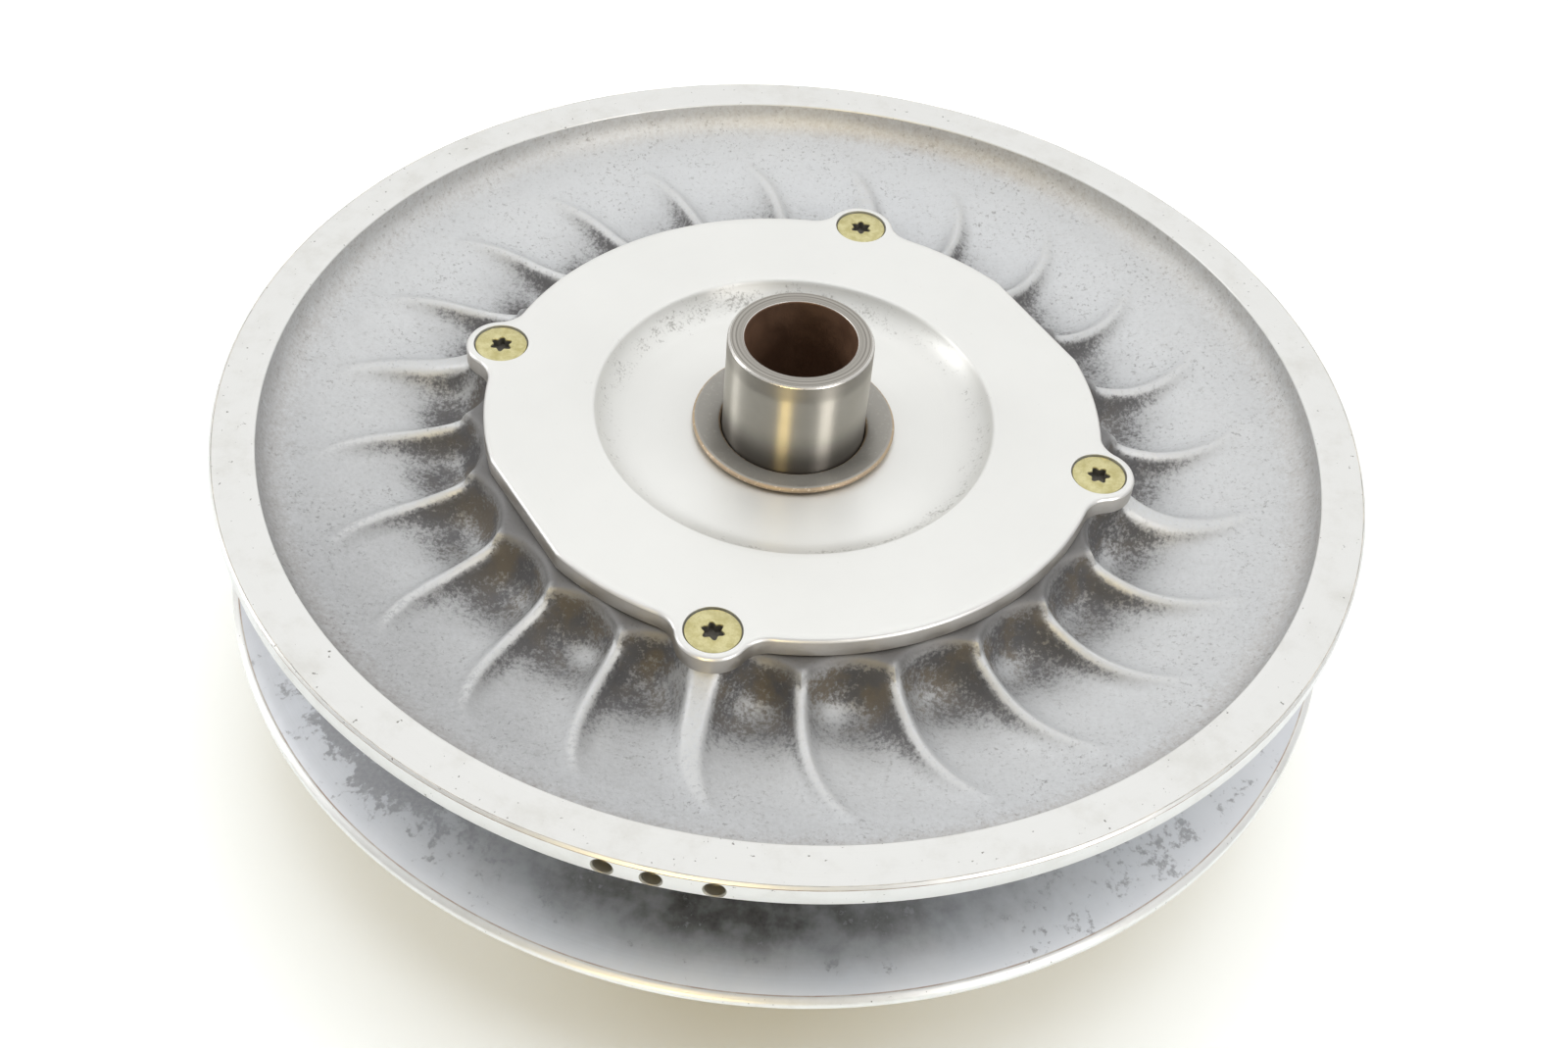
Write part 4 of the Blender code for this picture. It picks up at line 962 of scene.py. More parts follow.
def sheave_outline():
    """Stretches of the moving sheave's outline with their looks, from the rim's inner side to the hub."""
    outer = SHEAVE_RADIUS
    slope = math.atan(FACE_SLOPE)
    hollow = RIM_INNER - RIM_FILLET
    hollow_centre = (hollow, moving_web(hollow) + RIM_FILLET / math.cos(slope))
    chamfer = outer - RIM_CHAMFER
    line = chamfer - RIM_LINE
    edge = RIM_TOP - RIM_CHAMFER
    face_edge = outer - FACE_EDGE_CHAMFER
    face = np.linspace(face_edge, HOUSING_RADIUS, MOVING_FACE_STEPS)[1:]
    foot = moving_face(HOUSING_RADIUS)
    return [
        (CAST, arc(hollow_centre, RIM_FILLET, slope - math.pi / 2, 0.0, RIM_FILLET_STEPS)),
        (CAST, [(RIM_INNER, RIM_TOP - 2 * EDGE)]),
        (RIM, arc((RIM_INNER + EDGE, RIM_TOP - EDGE), EDGE, math.pi, math.pi / 2, 3)),
        (RIM, [(radius, RIM_TOP) for radius in np.linspace(RIM_INNER + 2 * MM, line, 5)[:-1]]),
        (GREY_LINE, [(line, RIM_TOP), (chamfer - RIM_LINE / 2, RIM_TOP - GREY_LINE_DEPTH)]),
        (RIM, [(chamfer, RIM_TOP), (outer - 0.3 * RIM_CHAMFER, edge + 0.4 * RIM_CHAMFER)]),
        (BROWN_LINE, [(outer, edge), (outer - BROWN_LINE_DEPTH, edge - RIM_LINE / 2)]),
        (RIM_SIDE_SHADED, [(outer, edge - RIM_LINE), (outer, edge - 2 * RIM_LINE)]),
        (RIM_SIDE_SHADED, [(outer, RIM_BOTTOM + EDGE), (outer - 0.3 * EDGE, RIM_BOTTOM + 0.3 * EDGE)]),
        (RIM_SIDE_SHADED, [(outer - EDGE, RIM_BOTTOM - EDGE)]),
        (BELT_FACE, [(face_edge, RIM_BOTTOM - FACE_EDGE_CHAMFER)]),
        (BELT_FACE, [(radius, moving_face(radius)) for radius in face]),
        (BELT_FACE, [(SHEAVE_BORE + EDGE, foot), (SHEAVE_BORE, foot + EDGE)]),
        (RIM, [(SHEAVE_BORE, CUP_SEAT - EDGE), (SHEAVE_BORE + EDGE, CUP_SEAT), (CUP_POCKET, CUP_SEAT)]),
        (RIM, [(CUP_POCKET, HUB_TOP - EDGE), (CUP_POCKET + EDGE, HUB_TOP)]),
    ]


def balance_drill():
    """Cutter for the blind holes in the moving sheave's rim."""
    outline = [
        (0.0, OVERSHOOT),
        (BALANCE_HOLE_RADIUS + EDGE, OVERSHOOT),
        (BALANCE_HOLE_RADIUS + EDGE, 0.0),
        (BALANCE_HOLE_RADIUS, -EDGE),
        (BALANCE_HOLE_RADIUS, BALANCE_HOLE_TIP - BALANCE_HOLE_DEPTH),
        (0.0, -BALANCE_HOLE_DEPTH),
    ]
    drill = skin("drill", spun(outline, SMALL_STEPS))
    assign(drill, lambda radius, z: np.full(len(z), SHEAVE_LOOKS.index(DRILLED)))
    side = Matrix.Translation((SHEAVE_RADIUS, 0.0, RIM_TOP - BALANCE_HOLE_DROP))
    side = side @ Matrix.Rotation(math.pi / 2, 4, "Y")
    return repeated(drill, [Matrix.Rotation(angle, 4, "Z") @ side for angle in BALANCE_HOLE_ANGLES])


def paint_cast_side(sheave):
    """Stores where soot and painted shade, dull film, rust, rim stains and bare crests lie, with painted
    shade on the ledge and along the rim's front, and painted highlights in bare patches; the angles are in
    degrees.
    """
    radius, angle, height = places_of(sheave)
    upper = (height > moving_web(radius) - 0.5 * MM) & (radius < RIM_INNER + WELD)
    front = 0.5 - 0.5 * np.sin(angle)
    right = fade(np.cos(angle), -0.2, 0.15)
    back = round_hump(angle, 150.0, 46.0)
    pocket, share = between_fins(radius, angle)
    uneven = np.sin(2.6 * (pocket % FIN_COUNT))
    # 1 on the side of each pocket that faces the front, where painted shade is laid.
    shaded = right * share + (1 - right) * (1 - share)
    on_fin = 1 - fade(to_fin(radius, angle), -0.2 * MM, 1.2 * MM)
    below = below_ledge(radius, angle)
    ledge = 1 - fade(below, -0.8 * MM, 1.0 * MM)

    # Painted shadow of the cover's edge over the pockets' arches, laid with the soot.
    shade_under_cover = fade(below, 0.0, 1.2 * MM) * (1 - fade(below, 2.0 * MM, 6.0 * MM))
    near_hub = 1 - fade(radius, 78 * MM, (109 - 4 * right) * MM)
    # Near the hub: soot, painted shade on each pocket's shaded side, and a soot band.
    deep = 0.32 + 0.40 * fade(shaded, 0.2, 0.9) + 0.26 * bell(radius, 86 * MM, 5 * MM)
    # Bare patch in each pocket where the soot is left off; it also paints a highlight on the scoop.
    bare = bell(shaded, 0.38, 0.2) * bell(radius, (80 + 1.6 * uneven) * MM, 3 * MM)
    # Painted shade along the shaded side of each fin.
    fin_side_shade = fade(shaded, 0.76, 0.93) * (1 - fade(radius, (92 + 3 * uneven) * MM, 113 * MM))
    second = bell(shaded, 0.42, 0.16) - bell(shaded, 0.70, 0.09)
    # Soot and painted shade together, less the bare patches, with little of it on the ledge.
    soot_and_shade = near_hub * deep + 0.42 * shade_under_cover - (0.15 + 0.10 * uneven) * bare
    soot_and_shade = soot_and_shade + 0.38 * fin_side_shade + 0.5 * back * second * (1 - fade(radius, 82 * MM, 95 * MM))
    soot_and_shade = soot_and_shade * (1 - 0.85 * ledge)
    soot_and_shade = soot_and_shade * (0.86 + 0.14 * front) * (1 - on_fin * fade(radius, 75 * MM, 82 * MM))
    paint(sheave, "soot_and_shade", upper * soot_and_shade)

    # Dull film on the outer web, darker to the front-left and lighter at the back.
    dull_and_shade = 0.09 + 0.05 * front + 0.26 * round_hump(angle, 222.0, 42.0)
    dull_and_shade = dull_and_shade - 0.10 * round_hump(angle, 105.0, 70.0)
    # Painted shade on the hub's ledge under the cover's edge.
    ledge_shade = 0.95 * ledge * (1 - on_fin * fade(radius, 75 * MM, 80 * MM))
    paint(sheave, "dull_and_shade", upper * (dull_and_shade * fade(radius, 90 * MM, 110 * MM) + ledge_shade))
    paint(sheave, "rust", upper * front * (1 - fade(radius, 77 * MM, 92 * MM)))
    tips = 1 - fade(radius, 106 * MM, 114 * MM)
    paint(sheave, "crest", upper * on_fin * fade(radius, 76 * MM, 83 * MM) * tips)
    # Brown stains by the rim at the back, and painted shade at the front where the rim hides the web.
    by_rim = fade(radius, (119 - 5 * front) * MM, (125 - 4 * front) * MM)
    paint(sheave, "stain", upper * by_rim * (0.15 + 0.22 * front + 0.18 * round_hump(angle, 78.0, 24.0)))


def make_moving_sheave():
    columns = fin_columns()
    outline, bands = laid_out(sheave_outline(), SHEAVE_LOOKS)
    outline = np.array(outline)
    field = spaced(FINNED_ZONES, RIM_INNER - RIM_FILLET - MM)
    radii = np.concatenate([field, outline[:, 0]])[:, None]
    angles = columns[None, :] + fin_lean(radii)
    cast = cast_height(field[:, None], angles[: len(field)])
    heights = np.concatenate([cast, np.repeat(outline[:, 1:], len(columns), axis=1)])
    bands = np.concatenate([np.full(len(field), SHEAVE_LOOKS.index(CAST)), bands])
    sheave = skin("fine_moving_sheave", around(radii, angles, heights), bands=bands)
    cut(sheave, balance_drill())
    cut(sheave, cover_pockets("boss_holes"))
    paint_cast_side(sheave)
    finish(sheave, "moving", "cast_aluminium", "moving_sheave", *SHEAVE_LOOKS)


def cover_outline():
    """Round plate with four rounded screw lobes and two flats."""
    fillet_distance = COVER_RADIUS + LOBE_FILLET
    squares = COVER_RADIUS**2 + fillet_distance**2 - (LOBE_RADIUS + LOBE_FILLET) ** 2
    spread = math.acos(squares / (2 * COVER_RADIUS * fillet_distance))
    corner = Vector(polar(fillet_distance, spread)) - Vector((COVER_RADIUS, 0.0))
    lean = math.atan2(corner.y, corner.x)
    step = TURN / SCREW_COUNT
    points = []
    for i in range(SCREW_COUNT):
        angle = SCREW_FIRST_ANGLE + i * step
        sides = []
        for way in (-1, 1):
            centre = polar(fillet_distance, angle + way * spread)
            start = angle + way * spread + math.pi
            end = angle + way * lean + math.pi
            sides.append(arc(centre, LOBE_FILLET, start, end, LOBE_FILLET_STEPS))
        points += sides[0]
        lobe = arc(polar(COVER_RADIUS, angle), LOBE_RADIUS, angle - lean, angle + lean, LOBE_STEPS)
        points += lobe[1:-1]
        points += sides[1][::-1]
        points += edge_stretch(angle + spread, angle + step - spread)
    return np.array(points)


def edge_stretch(start, end):
    """Points of the cover's round edge strictly between two angles, with its flats cut straight."""
    angles = np.linspace(start, end, COVER_EDGE_STEPS)[1:-1]
    radii = np.full(len(angles), COVER_RADIUS)
    for flat in FLAT_ANGLES:
        apart = (angles - flat + math.pi) % TURN - math.pi
        radii = np.minimum(radii, (COVER_RADIUS - FLAT_DEPTH) / np.maximum(np.cos(apart), 0.5))
    return [polar(radius, angle) for radius, angle in zip(radii, angles)]


def make_cover():
    edge = cover_outline()
    ahead = np.roll(edge, -1, axis=0) - np.roll(edge, 1, axis=0)
    outward = np.stack([ahead[:, 1], -ahead[:, 0]], axis=1) / np.linalg.norm(ahead, axis=1)[:, None]
    round_row = edge / np.linalg.norm(edge, axis=1)[:, None]
    wall = math.acos(1 - RECESS_DEPTH / RECESS_FILLET)
    dish = RECESS_RADIUS - RECESS_FILLET * math.sin(wall)
    bowl_centre = (dish, RECESS_FLOOR + RECESS_FILLET)
    bowl_end = wall - math.pi / 2 - RECESS_ARC_SHORT
    skirt_bottom = low("helix_cover")
    skirt = np.linspace(SPIGOT_BOTTOM, skirt_bottom + EDGE, SKIRT_STEPS)
    inside = [
        (BOSS_BORE, COVER_BOSS_BOTTOM + EDGE),
        (BOSS_BORE, RECESS_FLOOR - EDGE),
        (BOSS_BORE + EDGE, RECESS_FLOOR),
        *[(radius, RECESS_FLOOR) for radius in np.linspace(BOSS_BORE + 2 * MM, dish - MM, 6)],
        *arc(bowl_centre, RECESS_FILLET, -math.pi / 2, bowl_end, BOWL_STEPS),
        (RECESS_RADIUS + EDGE / 2, COVER_TOP - EDGE / 6),
        (RECESS_RADIUS + 1.5 * EDGE, COVER_TOP),
        *[(radius, COVER_TOP) for radius in np.linspace(RECESS_RADIUS + 2 * MM, COVER_MIDDLE, 5)],
    ]
    rim = [
        (COVER_CHAMFER + 2 * MM, COVER_TOP),
        (COVER_CHAMFER + EDGE / 2, COVER_TOP),
        (COVER_CHAMFER - EDGE / 2, COVER_TOP - EDGE / 2),
        (EDGE / 2, COVER_TOP - COVER_CHAMFER + EDGE / 2),
        (0.0, COVER_TOP - COVER_CHAMFER - EDGE / 2),
        (0.0, COVER_SEAT + EDGE),
        (EDGE, COVER_SEAT),
        (3 * MM, COVER_SEAT),
    ]
    under = [
        (COVER_MIDDLE, COVER_SEAT),
        (SPIGOT_RADIUS, COVER_SEAT),
        (SPIGOT_RADIUS, SPIGOT_BOTTOM + EDGE),
        (SPIGOT_RADIUS - EDGE, SPIGOT_BOTTOM),
        *[(HELIX_RADIUS, height) for height in skirt],
        (HELIX_RADIUS - EDGE, skirt_bottom),
        (HELIX_BORE + EDGE, skirt_bottom),
        *[(HELIX_BORE, height) for height in skirt[::-1]],
        (BOSS_RADIUS, SPIGOT_BOTTOM),
        (BOSS_RADIUS, COVER_BOSS_BOTTOM + EDGE),
        (BOSS_RADIUS - EDGE, COVER_BOSS_BOTTOM),
        (BOSS_BORE + EDGE, COVER_BOSS_BOTTOM),
    ]
    rows = [(radius * round_row, height) for radius, height in inside]
    rows += [(edge - inset * outward, height) for inset, height in rim]
    rows += [(radius * round_row, height) for radius, height in under]
    points = np.array([np.column_stack([plan, np.full(len(plan), height)]) for plan, height in rows])
    looks = (COVER, MACHINED_EDGE_HIGHLIGHT, COVER_WALL)
    chamfer = len(inside) + 1
    side = chamfer + 3
    bands = np.zeros(len(rows), int)
    bands[chamfer:side] = looks.index(MACHINED_EDGE_HIGHLIGHT)
    bands[side : side + 2] = looks.index(COVER_WALL)
    cover = skin("fine_helix_cover", points, bands=bands)
    cut(cover, cover_pockets("cover_holes"))
    cut(cover, helix_slots())
    radius, angle, height = places_of(cover)
    away = np.cos(2 * angle - math.radians(60.0))
    inside_edge = bell(radius, RECESS_RADIUS - 3 * MM, 3.5 * MM)
    flat = height > RECESS_FLOOR - NEAR
    paint(cover, "wear", flat * (0.02 + inside_edge * (0.46 - 0.12 * away)))
    finish(cover, "moving", "machined_aluminium", "helix_cover", *looks)


def helix_slots():
    """Slots that lead down from each roller over the length of the shift, wide enough for a roller."""
    middle = (HELIX_BORE + HELIX_RADIUS) / 2
    run = SHIFT_TRAVEL / math.tan(HELIX_ANGLE)
    across = HELIX_ANGLE + math.pi / 2
    upper = arc((0.0, ROLLER_HEIGHT), SLOT_RADIUS, math.pi - across, TURN - across, SLOT_END_STEPS)
    lower_centre = (run, ROLLER_HEIGHT - SHIFT_TRAVEL)
    lower = arc(lower_centre, SLOT_RADIUS, -across, math.pi - across, SLOT_END_STEPS)
    down = np.linspace(upper[-1], lower[0], SLOT_SIDE_STEPS)[1:-1]
    up = np.linspace(lower[-1], upper[0], SLOT_SIDE_STEPS)[1:-1]
    outline = np.concatenate([upper, down, lower, up])
    centre = np.broadcast_to(outline.mean(axis=0), outline.shape)
    inner = SPIDER_RADIUS
    outer = HELIX_RADIUS + 3 * OVERSHOOT
    rows = []
    for radius, plan in ((inner, centre), (inner, outline), (outer, outline), (outer, centre)):
        rows.append(around(radius, plan[:, 0] / middle, plan[:, 1]))
    slot = skin("slots", np.array(rows), closed=False)
    return repeated(slot, round_places(ROLLER_COUNT, ROLLER_FIRST_ANGLE, Matrix.Identity(4)))


def back_height(radius, angle):
    """Height of the fixed sheave's back: web, ribs and the foot of the housing's wall."""
    turn = (angle - math.pi / RIB_COUNT) / TURN * RIB_COUNT
    side = np.abs(turn - np.round(turn)) * radius * TURN / RIB_COUNT - RIB_THICKNESS / 2
    start = fixed_back(HOUSING_RADIUS) - RIB_DEPTH
    share = (radius - HOUSING_RADIUS) / (RIB_TIP_RADIUS - HOUSING_RADIUS)
    rib = start + (fixed_back(RIB_TIP_RADIUS) - start) * share
    rib = rib + RIB_SIDE_SLOPE * soft_positive(side, RIB_ROUNDING)
    wall = start - WALL_START_DROP + WALL_SLOPE * soft_positive(radius - HOUSING_RADIUS, WALL_ROUNDING)
    return smooth_min(smooth_min(fixed_back(radius), rib, RIB_FILLET), wall, WALL_FILLET)


def rib_columns(radius):
    """Angles round the fixed sheave at a radius; the columns by a rib run along its sides."""
    outer = max(radius, HOUSING_RADIUS)
    gap = np.linspace(RIB_SIDE_STEPS[-1], outer * math.pi / RIB_COUNT, RIB_GAP_STEPS)
    side = np.concatenate([RIB_SIDE_STEPS, gap[1:]])
    apart = np.concatenate([-side[-2:0:-1], side]) / outer
    return np.concatenate([TURN / RIB_COUNT * (i + 0.5) + apart for i in range(RIB_COUNT)])


FIXED_LOOKS = (PATCHY_FACE, RIM, EDGE_LINE, CAST_BACK)


def fixed_outline():
    """Stretches of the fixed sheave's outline with their looks; the ribbed back has no heights yet."""
    outer = SHEAVE_RADIUS
    top = fixed_face(outer)
    hub = fixed_face(HOUSING_RADIUS)
    floor = low("fixed_sheave")
    inner_floor = floor + HOUSING_FLOOR
    undercut = outer - LOWER_RIM_UNDERCUT
    post_hole = POST_RADIUS + SEAT_GAP
    wall_top = fixed_back(HOUSING_RADIUS) - RIB_DEPTH - WALL_FIRST_DROP
    wall = np.linspace(wall_top, floor + 2 * EDGE, WALL_STEPS)
    belt = np.linspace(HOUSING_RADIUS, outer - BELT_FACE_INSET, FIXED_FACE_STEPS)
    line = outer - LOWER_LINE_INSET
    lip = [outer - inset for inset in LOWER_LIP_INSETS]
    rounding = LOWER_RIM_ROUNDING
    field = spaced(RIBBED_ZONES, HOUSING_RADIUS - NEAR)
    return [
        (RIM, [(HOUSING_BORE, hub - EDGE), (HOUSING_BORE + EDGE, hub)]),
        (PATCHY_FACE, [(radius, fixed_face(radius)) for radius in belt]),
        (EDGE_LINE, [(line, fixed_face(line) - LOWER_LINE_DEPTH)]),
        (RIM, [(radius, fixed_face(radius)) for radius in lip]),
        (RIM, arc((outer - rounding, top - rounding), rounding, 0.4 * math.pi, 0.0, 5)),
        (RIM, [(outer, top - LOWER_RIM_SIDE), (undercut, fixed_back(undercut))]),
        (CAST_BACK, [(radius, None) for radius in field]),
        (CAST_BACK, [(HOUSING_RADIUS, height) for height in wall]),
        (CAST_BACK, [(HOUSING_RADIUS - EDGE, floor + 0.5 * EDGE), (HOUSING_RADIUS - 2 * EDGE, floor)]),
        (RIM, [(post_hole + EDGE, floor), (post_hole, floor + EDGE), (post_hole, inner_floor)]),
        (RIM, [(HOUSING_BORE - EDGE, inner_floor), (HOUSING_BORE, inner_floor + EDGE)]),
    ]


def paint_belt_face(sheave):
    """Stores where oxide lies, a darker film that is partly painted shade, and painted shade under the
    moving sheave's rim; the angles are in degrees.
    """
    radius, angle, _ = places_of(sheave)
    left = round_hump(angle, 216.0, 28.0)
    right = round_hump(angle, 312.0, 24.0)
    outer_part = fade(radius, 100 * MM, 116 * MM) - 0.35 * fade(radius, 129 * MM, 134 * MM)
    under_rim = 1 - fade(radius, 121 * MM, 132 * MM)
    paint(sheave, "oxide", (0.19 + 0.30 * right + 0.12 * left) * outer_part + 0.86 * left * under_rim)
    # Darker film on the left of the belt face, partly painted shade.
    paint(sheave, "film_and_shade", 0.45 * round_hump(angle, 196.0, 42.0))
    shade = (1 - fade(radius, 119 * MM, 135 * MM)) * round_hump(angle, 268.0, 38.0)
    paint(sheave, "shade", shade + 0.10 * round_hump(angle, 322.0, 26.0))


def make_fixed_sheave():
    rows, bands = laid_out(fixed_outline(), FIXED_LOOKS)
    points = []
    for radius, height in rows:
        columns = rib_columns(radius)
        heights = back_height(radius, columns) if height is None else height
        points.append(around(radius, columns, heights))
    sheave = skin("fine_fixed_sheave", np.array(points), bands=bands)
    cut(sheave, flange_pockets("floor_holes"))
    paint_belt_face(sheave)
    finish(sheave, "fixed", "cast_aluminium", "fixed_sheave", *FIXED_LOOKS)


def box_piece(name, corner, opposite):
    centre = (Vector(corner) + Vector(opposite)) / 2
    size = Vector(opposite) - Vector(corner)
    edit = bmesh.new()
    bmesh.ops.create_cube(edit, size=1.0, matrix=Matrix.Translation(centre) @ Matrix.Diagonal((*size, 1.0)))
    mesh = bpy.data.meshes.new(name)
    edit.to_mesh(mesh)
    edit.free()
    return new_piece(name, mesh)


def key_cutter(name):
    corner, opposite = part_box("spider_key")
    gap = Vector((SEAT_GAP, SEAT_GAP, SEAT_GAP))
    return box_piece(name, corner - gap, opposite + gap)


def make_post():
    groove_top = high("retaining_ring") + SEAT_GAP
    groove_bottom = low("retaining_ring") - SEAT_GAP
    groove = POST_RADIUS - RETAINER_DEPTH - SEAT_GAP
    corners = [
        (POST_BORE + 0.5 * POST_CHAMFER, POST_TOP),
        (POST_RADIUS - POST_CHAMFER, POST_TOP),
        (POST_RADIUS, POST_TOP - POST_CHAMFER),
        (POST_RADIUS, groove_top),
        (groove, groove_top),
        (groove, groove_bottom),
        (POST_RADIUS, groove_bottom),
        (POST_RADIUS, FLANGE_THICKNESS),
        (FLANGE_RADIUS - POST_CHAMFER, FLANGE_THICKNESS),
        (FLANGE_RADIUS, FLANGE_THICKNESS - POST_CHAMFER),
        (FLANGE_RADIUS, 0.0),
        (POST_BORE + POST_CHAMFER, 0.0),
        (POST_BORE, POST_CHAMFER),
        (POST_BORE, POST_TOP - 0.5 * POST_CHAMFER),
    ]
    looks = (POST, POST_END, BORE, POST_EDGE_HIGHLIGHT)
    post = turned("fine_center_post", corners, MEDIUM_STEPS)
    cut(post, key_cutter("post_key_seat"))
    cut(post, flange_pockets("flange_holes"))

    def band(radius, z):
        end = (z > POST_TOP - NEAR) | (z < MM)
        edge = (z > POST_TOP - POST_CHAMFER) & ~end
        numbers = [looks.index(look) for look in (BORE, POST_END, POST_EDGE_HIGHLIGHT)]
        return np.select([radius < POST_BORE + NEAR, end, edge], numbers, looks.index(POST))

    assign(post, band)
    finish(post, "fixed", "post_steel", "center_post", *looks)


def make_bushings():
    top = high("cover_bushing")
    bottom = top - BUSHING_FLANGE
    flange = reach("cover_bushing")
    corners = [
        (RUN_RADIUS + BUSHING_LIP, top - BUSHING_DISH),
        (flange - BUSHING_BEVEL, top),
        (flange, top - BUSHING_EDGE_TOP),
        (flange, top - BUSHING_EDGE_BOTTOM),
        (flange - BUSHING_BEVEL, bottom),
        (BUSHING_RADIUS, bottom),
        (BUSHING_RADIUS, COVER_BOSS_BOTTOM),
        (RUN_RADIUS, COVER_BOSS_BOTTOM),
        (RUN_RADIUS, top - BUSHING_DISH - BUSHING_EDGE_TOP),
    ]
    looks = (BUSHING, BRONZE)
    bushing = turned("fine_cover_bushing", corners, MEDIUM_STEPS)

    def band(radius, z):
        rubbed = (z > top - BUSHING_DISH) & (radius < flange - BUSHING_RUBBED_EDGE)
        return np.where(rubbed, looks.index(BUSHING), looks.index(BRONZE))

    assign(bushing, band)
    finish(bushing, "moving", "bronze", "cover_bushing", *looks)
    inner = fine_ring("cup_bushing", RUN_RADIUS, BUSHING_RADIUS)
    finish(inner, "moving", "bronze", "cup_bushing", BRONZE)


def make_cup():
    bottom = low("spring_cup")
    corners = [
        (CUP_BORE, HUB_TOP),
        (CUP_FLANGE_RADIUS, HUB_TOP),
        (CUP_FLANGE_RADIUS, HUB_TOP - CUP_FLANGE),
        (CUP_RADIUS, HUB_TOP - CUP_FLANGE),
        (CUP_RADIUS, bottom),
        (BOSS_BORE, bottom),
        (BOSS_BORE, bottom + CUP_BOSS_LENGTH),
        (BOSS_RADIUS, bottom + CUP_BOSS_LENGTH),
        (BOSS_RADIUS, bottom + CUP_FLOOR),
        (CUP_BORE, bottom + CUP_FLOOR),
    ]
    cup = turned("fine_spring_cup", corners, LARGE_STEPS)
    finish(cup, "moving", "machined_aluminium", "spring_cup", MACHINED)


def make_washers():
    for node, inner, body in (
        ("lower_slip_washer", BOSS_RADIUS + RUN_GAP, "spring_seat"),
        ("upper_slip_washer", RUN_RADIUS, "fixed"),
    ):
        finish(fine_ring(node, inner, reach(node)), body, "nylon", node, NYLON)


def screw(name, length, socket):
    """Countersunk screw with its head's top at z = 0; socket is the drive's radius at each step round."""
    cone = SCREW_HEAD_RADIUS - SCREW_SHANK_RADIUS
    rows = [
        (0.0, -SOCKET_DEPTH - SOCKET_LIP),
        (socket - SOCKET_LIP, -SOCKET_DEPTH),
        (socket, -SOCKET_DEPTH + SOCKET_LIP),
        (socket, -2 * SOCKET_LIP),
        (socket + SOCKET_LIP, 0.0),
        (SCREW_HEAD_RADIUS - EDGE, 0.0),
        (SCREW_HEAD_RADIUS - EDGE / 3, -EDGE / 3),
        (SCREW_HEAD_RADIUS, -SCREW_HEAD_LAND),
        (SCREW_SHANK_RADIUS, -SCREW_HEAD_LAND - cone),
        (SCREW_SHANK_RADIUS, SCREW_TIP - length),
        (SCREW_SHANK_RADIUS - SCREW_TIP, -length),
        (0.0, -length),
    ]
    angles = round_steps(SMALL_STEPS)
    points = np.array([around(radius, angles, z) for radius, z in rows])
    return skin(name, points, closed=False, bands=np.arange(len(rows)) < SOCKET_ROWS)


def make_screws():
    angles = round_steps(SMALL_STEPS)
    six_lobes = SOCKET_RADIUS + SOCKET_WAVE * np.cos(6 * angles)
    hexagon = SOCKET_RADIUS * math.cos(math.pi / 6) / np.cos(angles % (math.pi / 3) - math.pi / 6)
    top = Matrix.Translation((COVER_RADIUS, 0.0, COVER_TOP - SCREW_SINK))
    foot = Matrix.Translation((FLANGE_SCREW_CIRCLE, 0.0, SCREW_SINK)) @ Matrix.Rotation(math.pi, 4, "X")
    rows = (
        ("cover_screw", SCREW_COUNT, SCREW_FIRST_ANGLE, top, six_lobes, "moving", "yellow_zinc", ZINC),
        ("flange_screw", FLANGE_SCREW_COUNT, 0.0, foot, hexagon, "fixed", "spring_steel", DARK_STEEL),
    )
    for name, count, first_angle, place, socket, body, slot, look in rows:
        for i, spot in enumerate(round_places(count, first_angle, place)):
            node = f"{name}_{i + 1}"
            piece = screw("fine_" + node, tall(node), socket)
            piece.data.transform(spot @ Matrix.Rotation(SCREW_TURNS[i], 4, "Z"))
            finish(piece, body, slot, node, look, SOCKET_SHADE)


def radial_place(i):
    """Place of the roller numbered i: its axis runs out from the post."""
    place = Matrix.Rotation(ROLLER_FIRST_ANGLE + TURN * i / ROLLER_COUNT, 4, "Z")
    return place @ Matrix.Translation((0.0, 0.0, ROLLER_HEIGHT)) @ Matrix.Rotation(math.pi / 2, 4, "Y")


def make_spider():
    ring_top, ring_bottom = high("roller_spider"), low("roller_spider")
    corners = [
        (RUN_RADIUS, SPIDER_TOP),
        (SPIDER_BORE, SPIDER_TOP),
        (SPIDER_BORE, ring_top),
        (SPIDER_RADIUS, ring_top),
        (SPIDER_RADIUS, ring_bottom),
        (SPIDER_BORE, ring_bottom),
        (SPIDER_BORE, SPIDER_BOTTOM),
        (RUN_RADIUS, SPIDER_BOTTOM),
    ]
    spider = turned("fine_roller_spider", corners, MEDIUM_STEPS)
    cut(spider, key_cutter("spider_key_seat"))
    hole = PIN_RADIUS + SEAT_GAP
    start = SPIDER_BORE - PIN_TAIL - SEAT_GAP
    end = SPIDER_RADIUS + OVERSHOOT
    drill = skin("pin_holes", spun([(0.0, end), (hole, end), (hole, start), (0.0, start)], SMALL_STEPS))
    cut(spider, repeated(drill, [radial_place(i) for i in range(ROLLER_COUNT)]))
    finish(spider, "fixed", "machined_aluminium", "roller_spider", MACHINED)


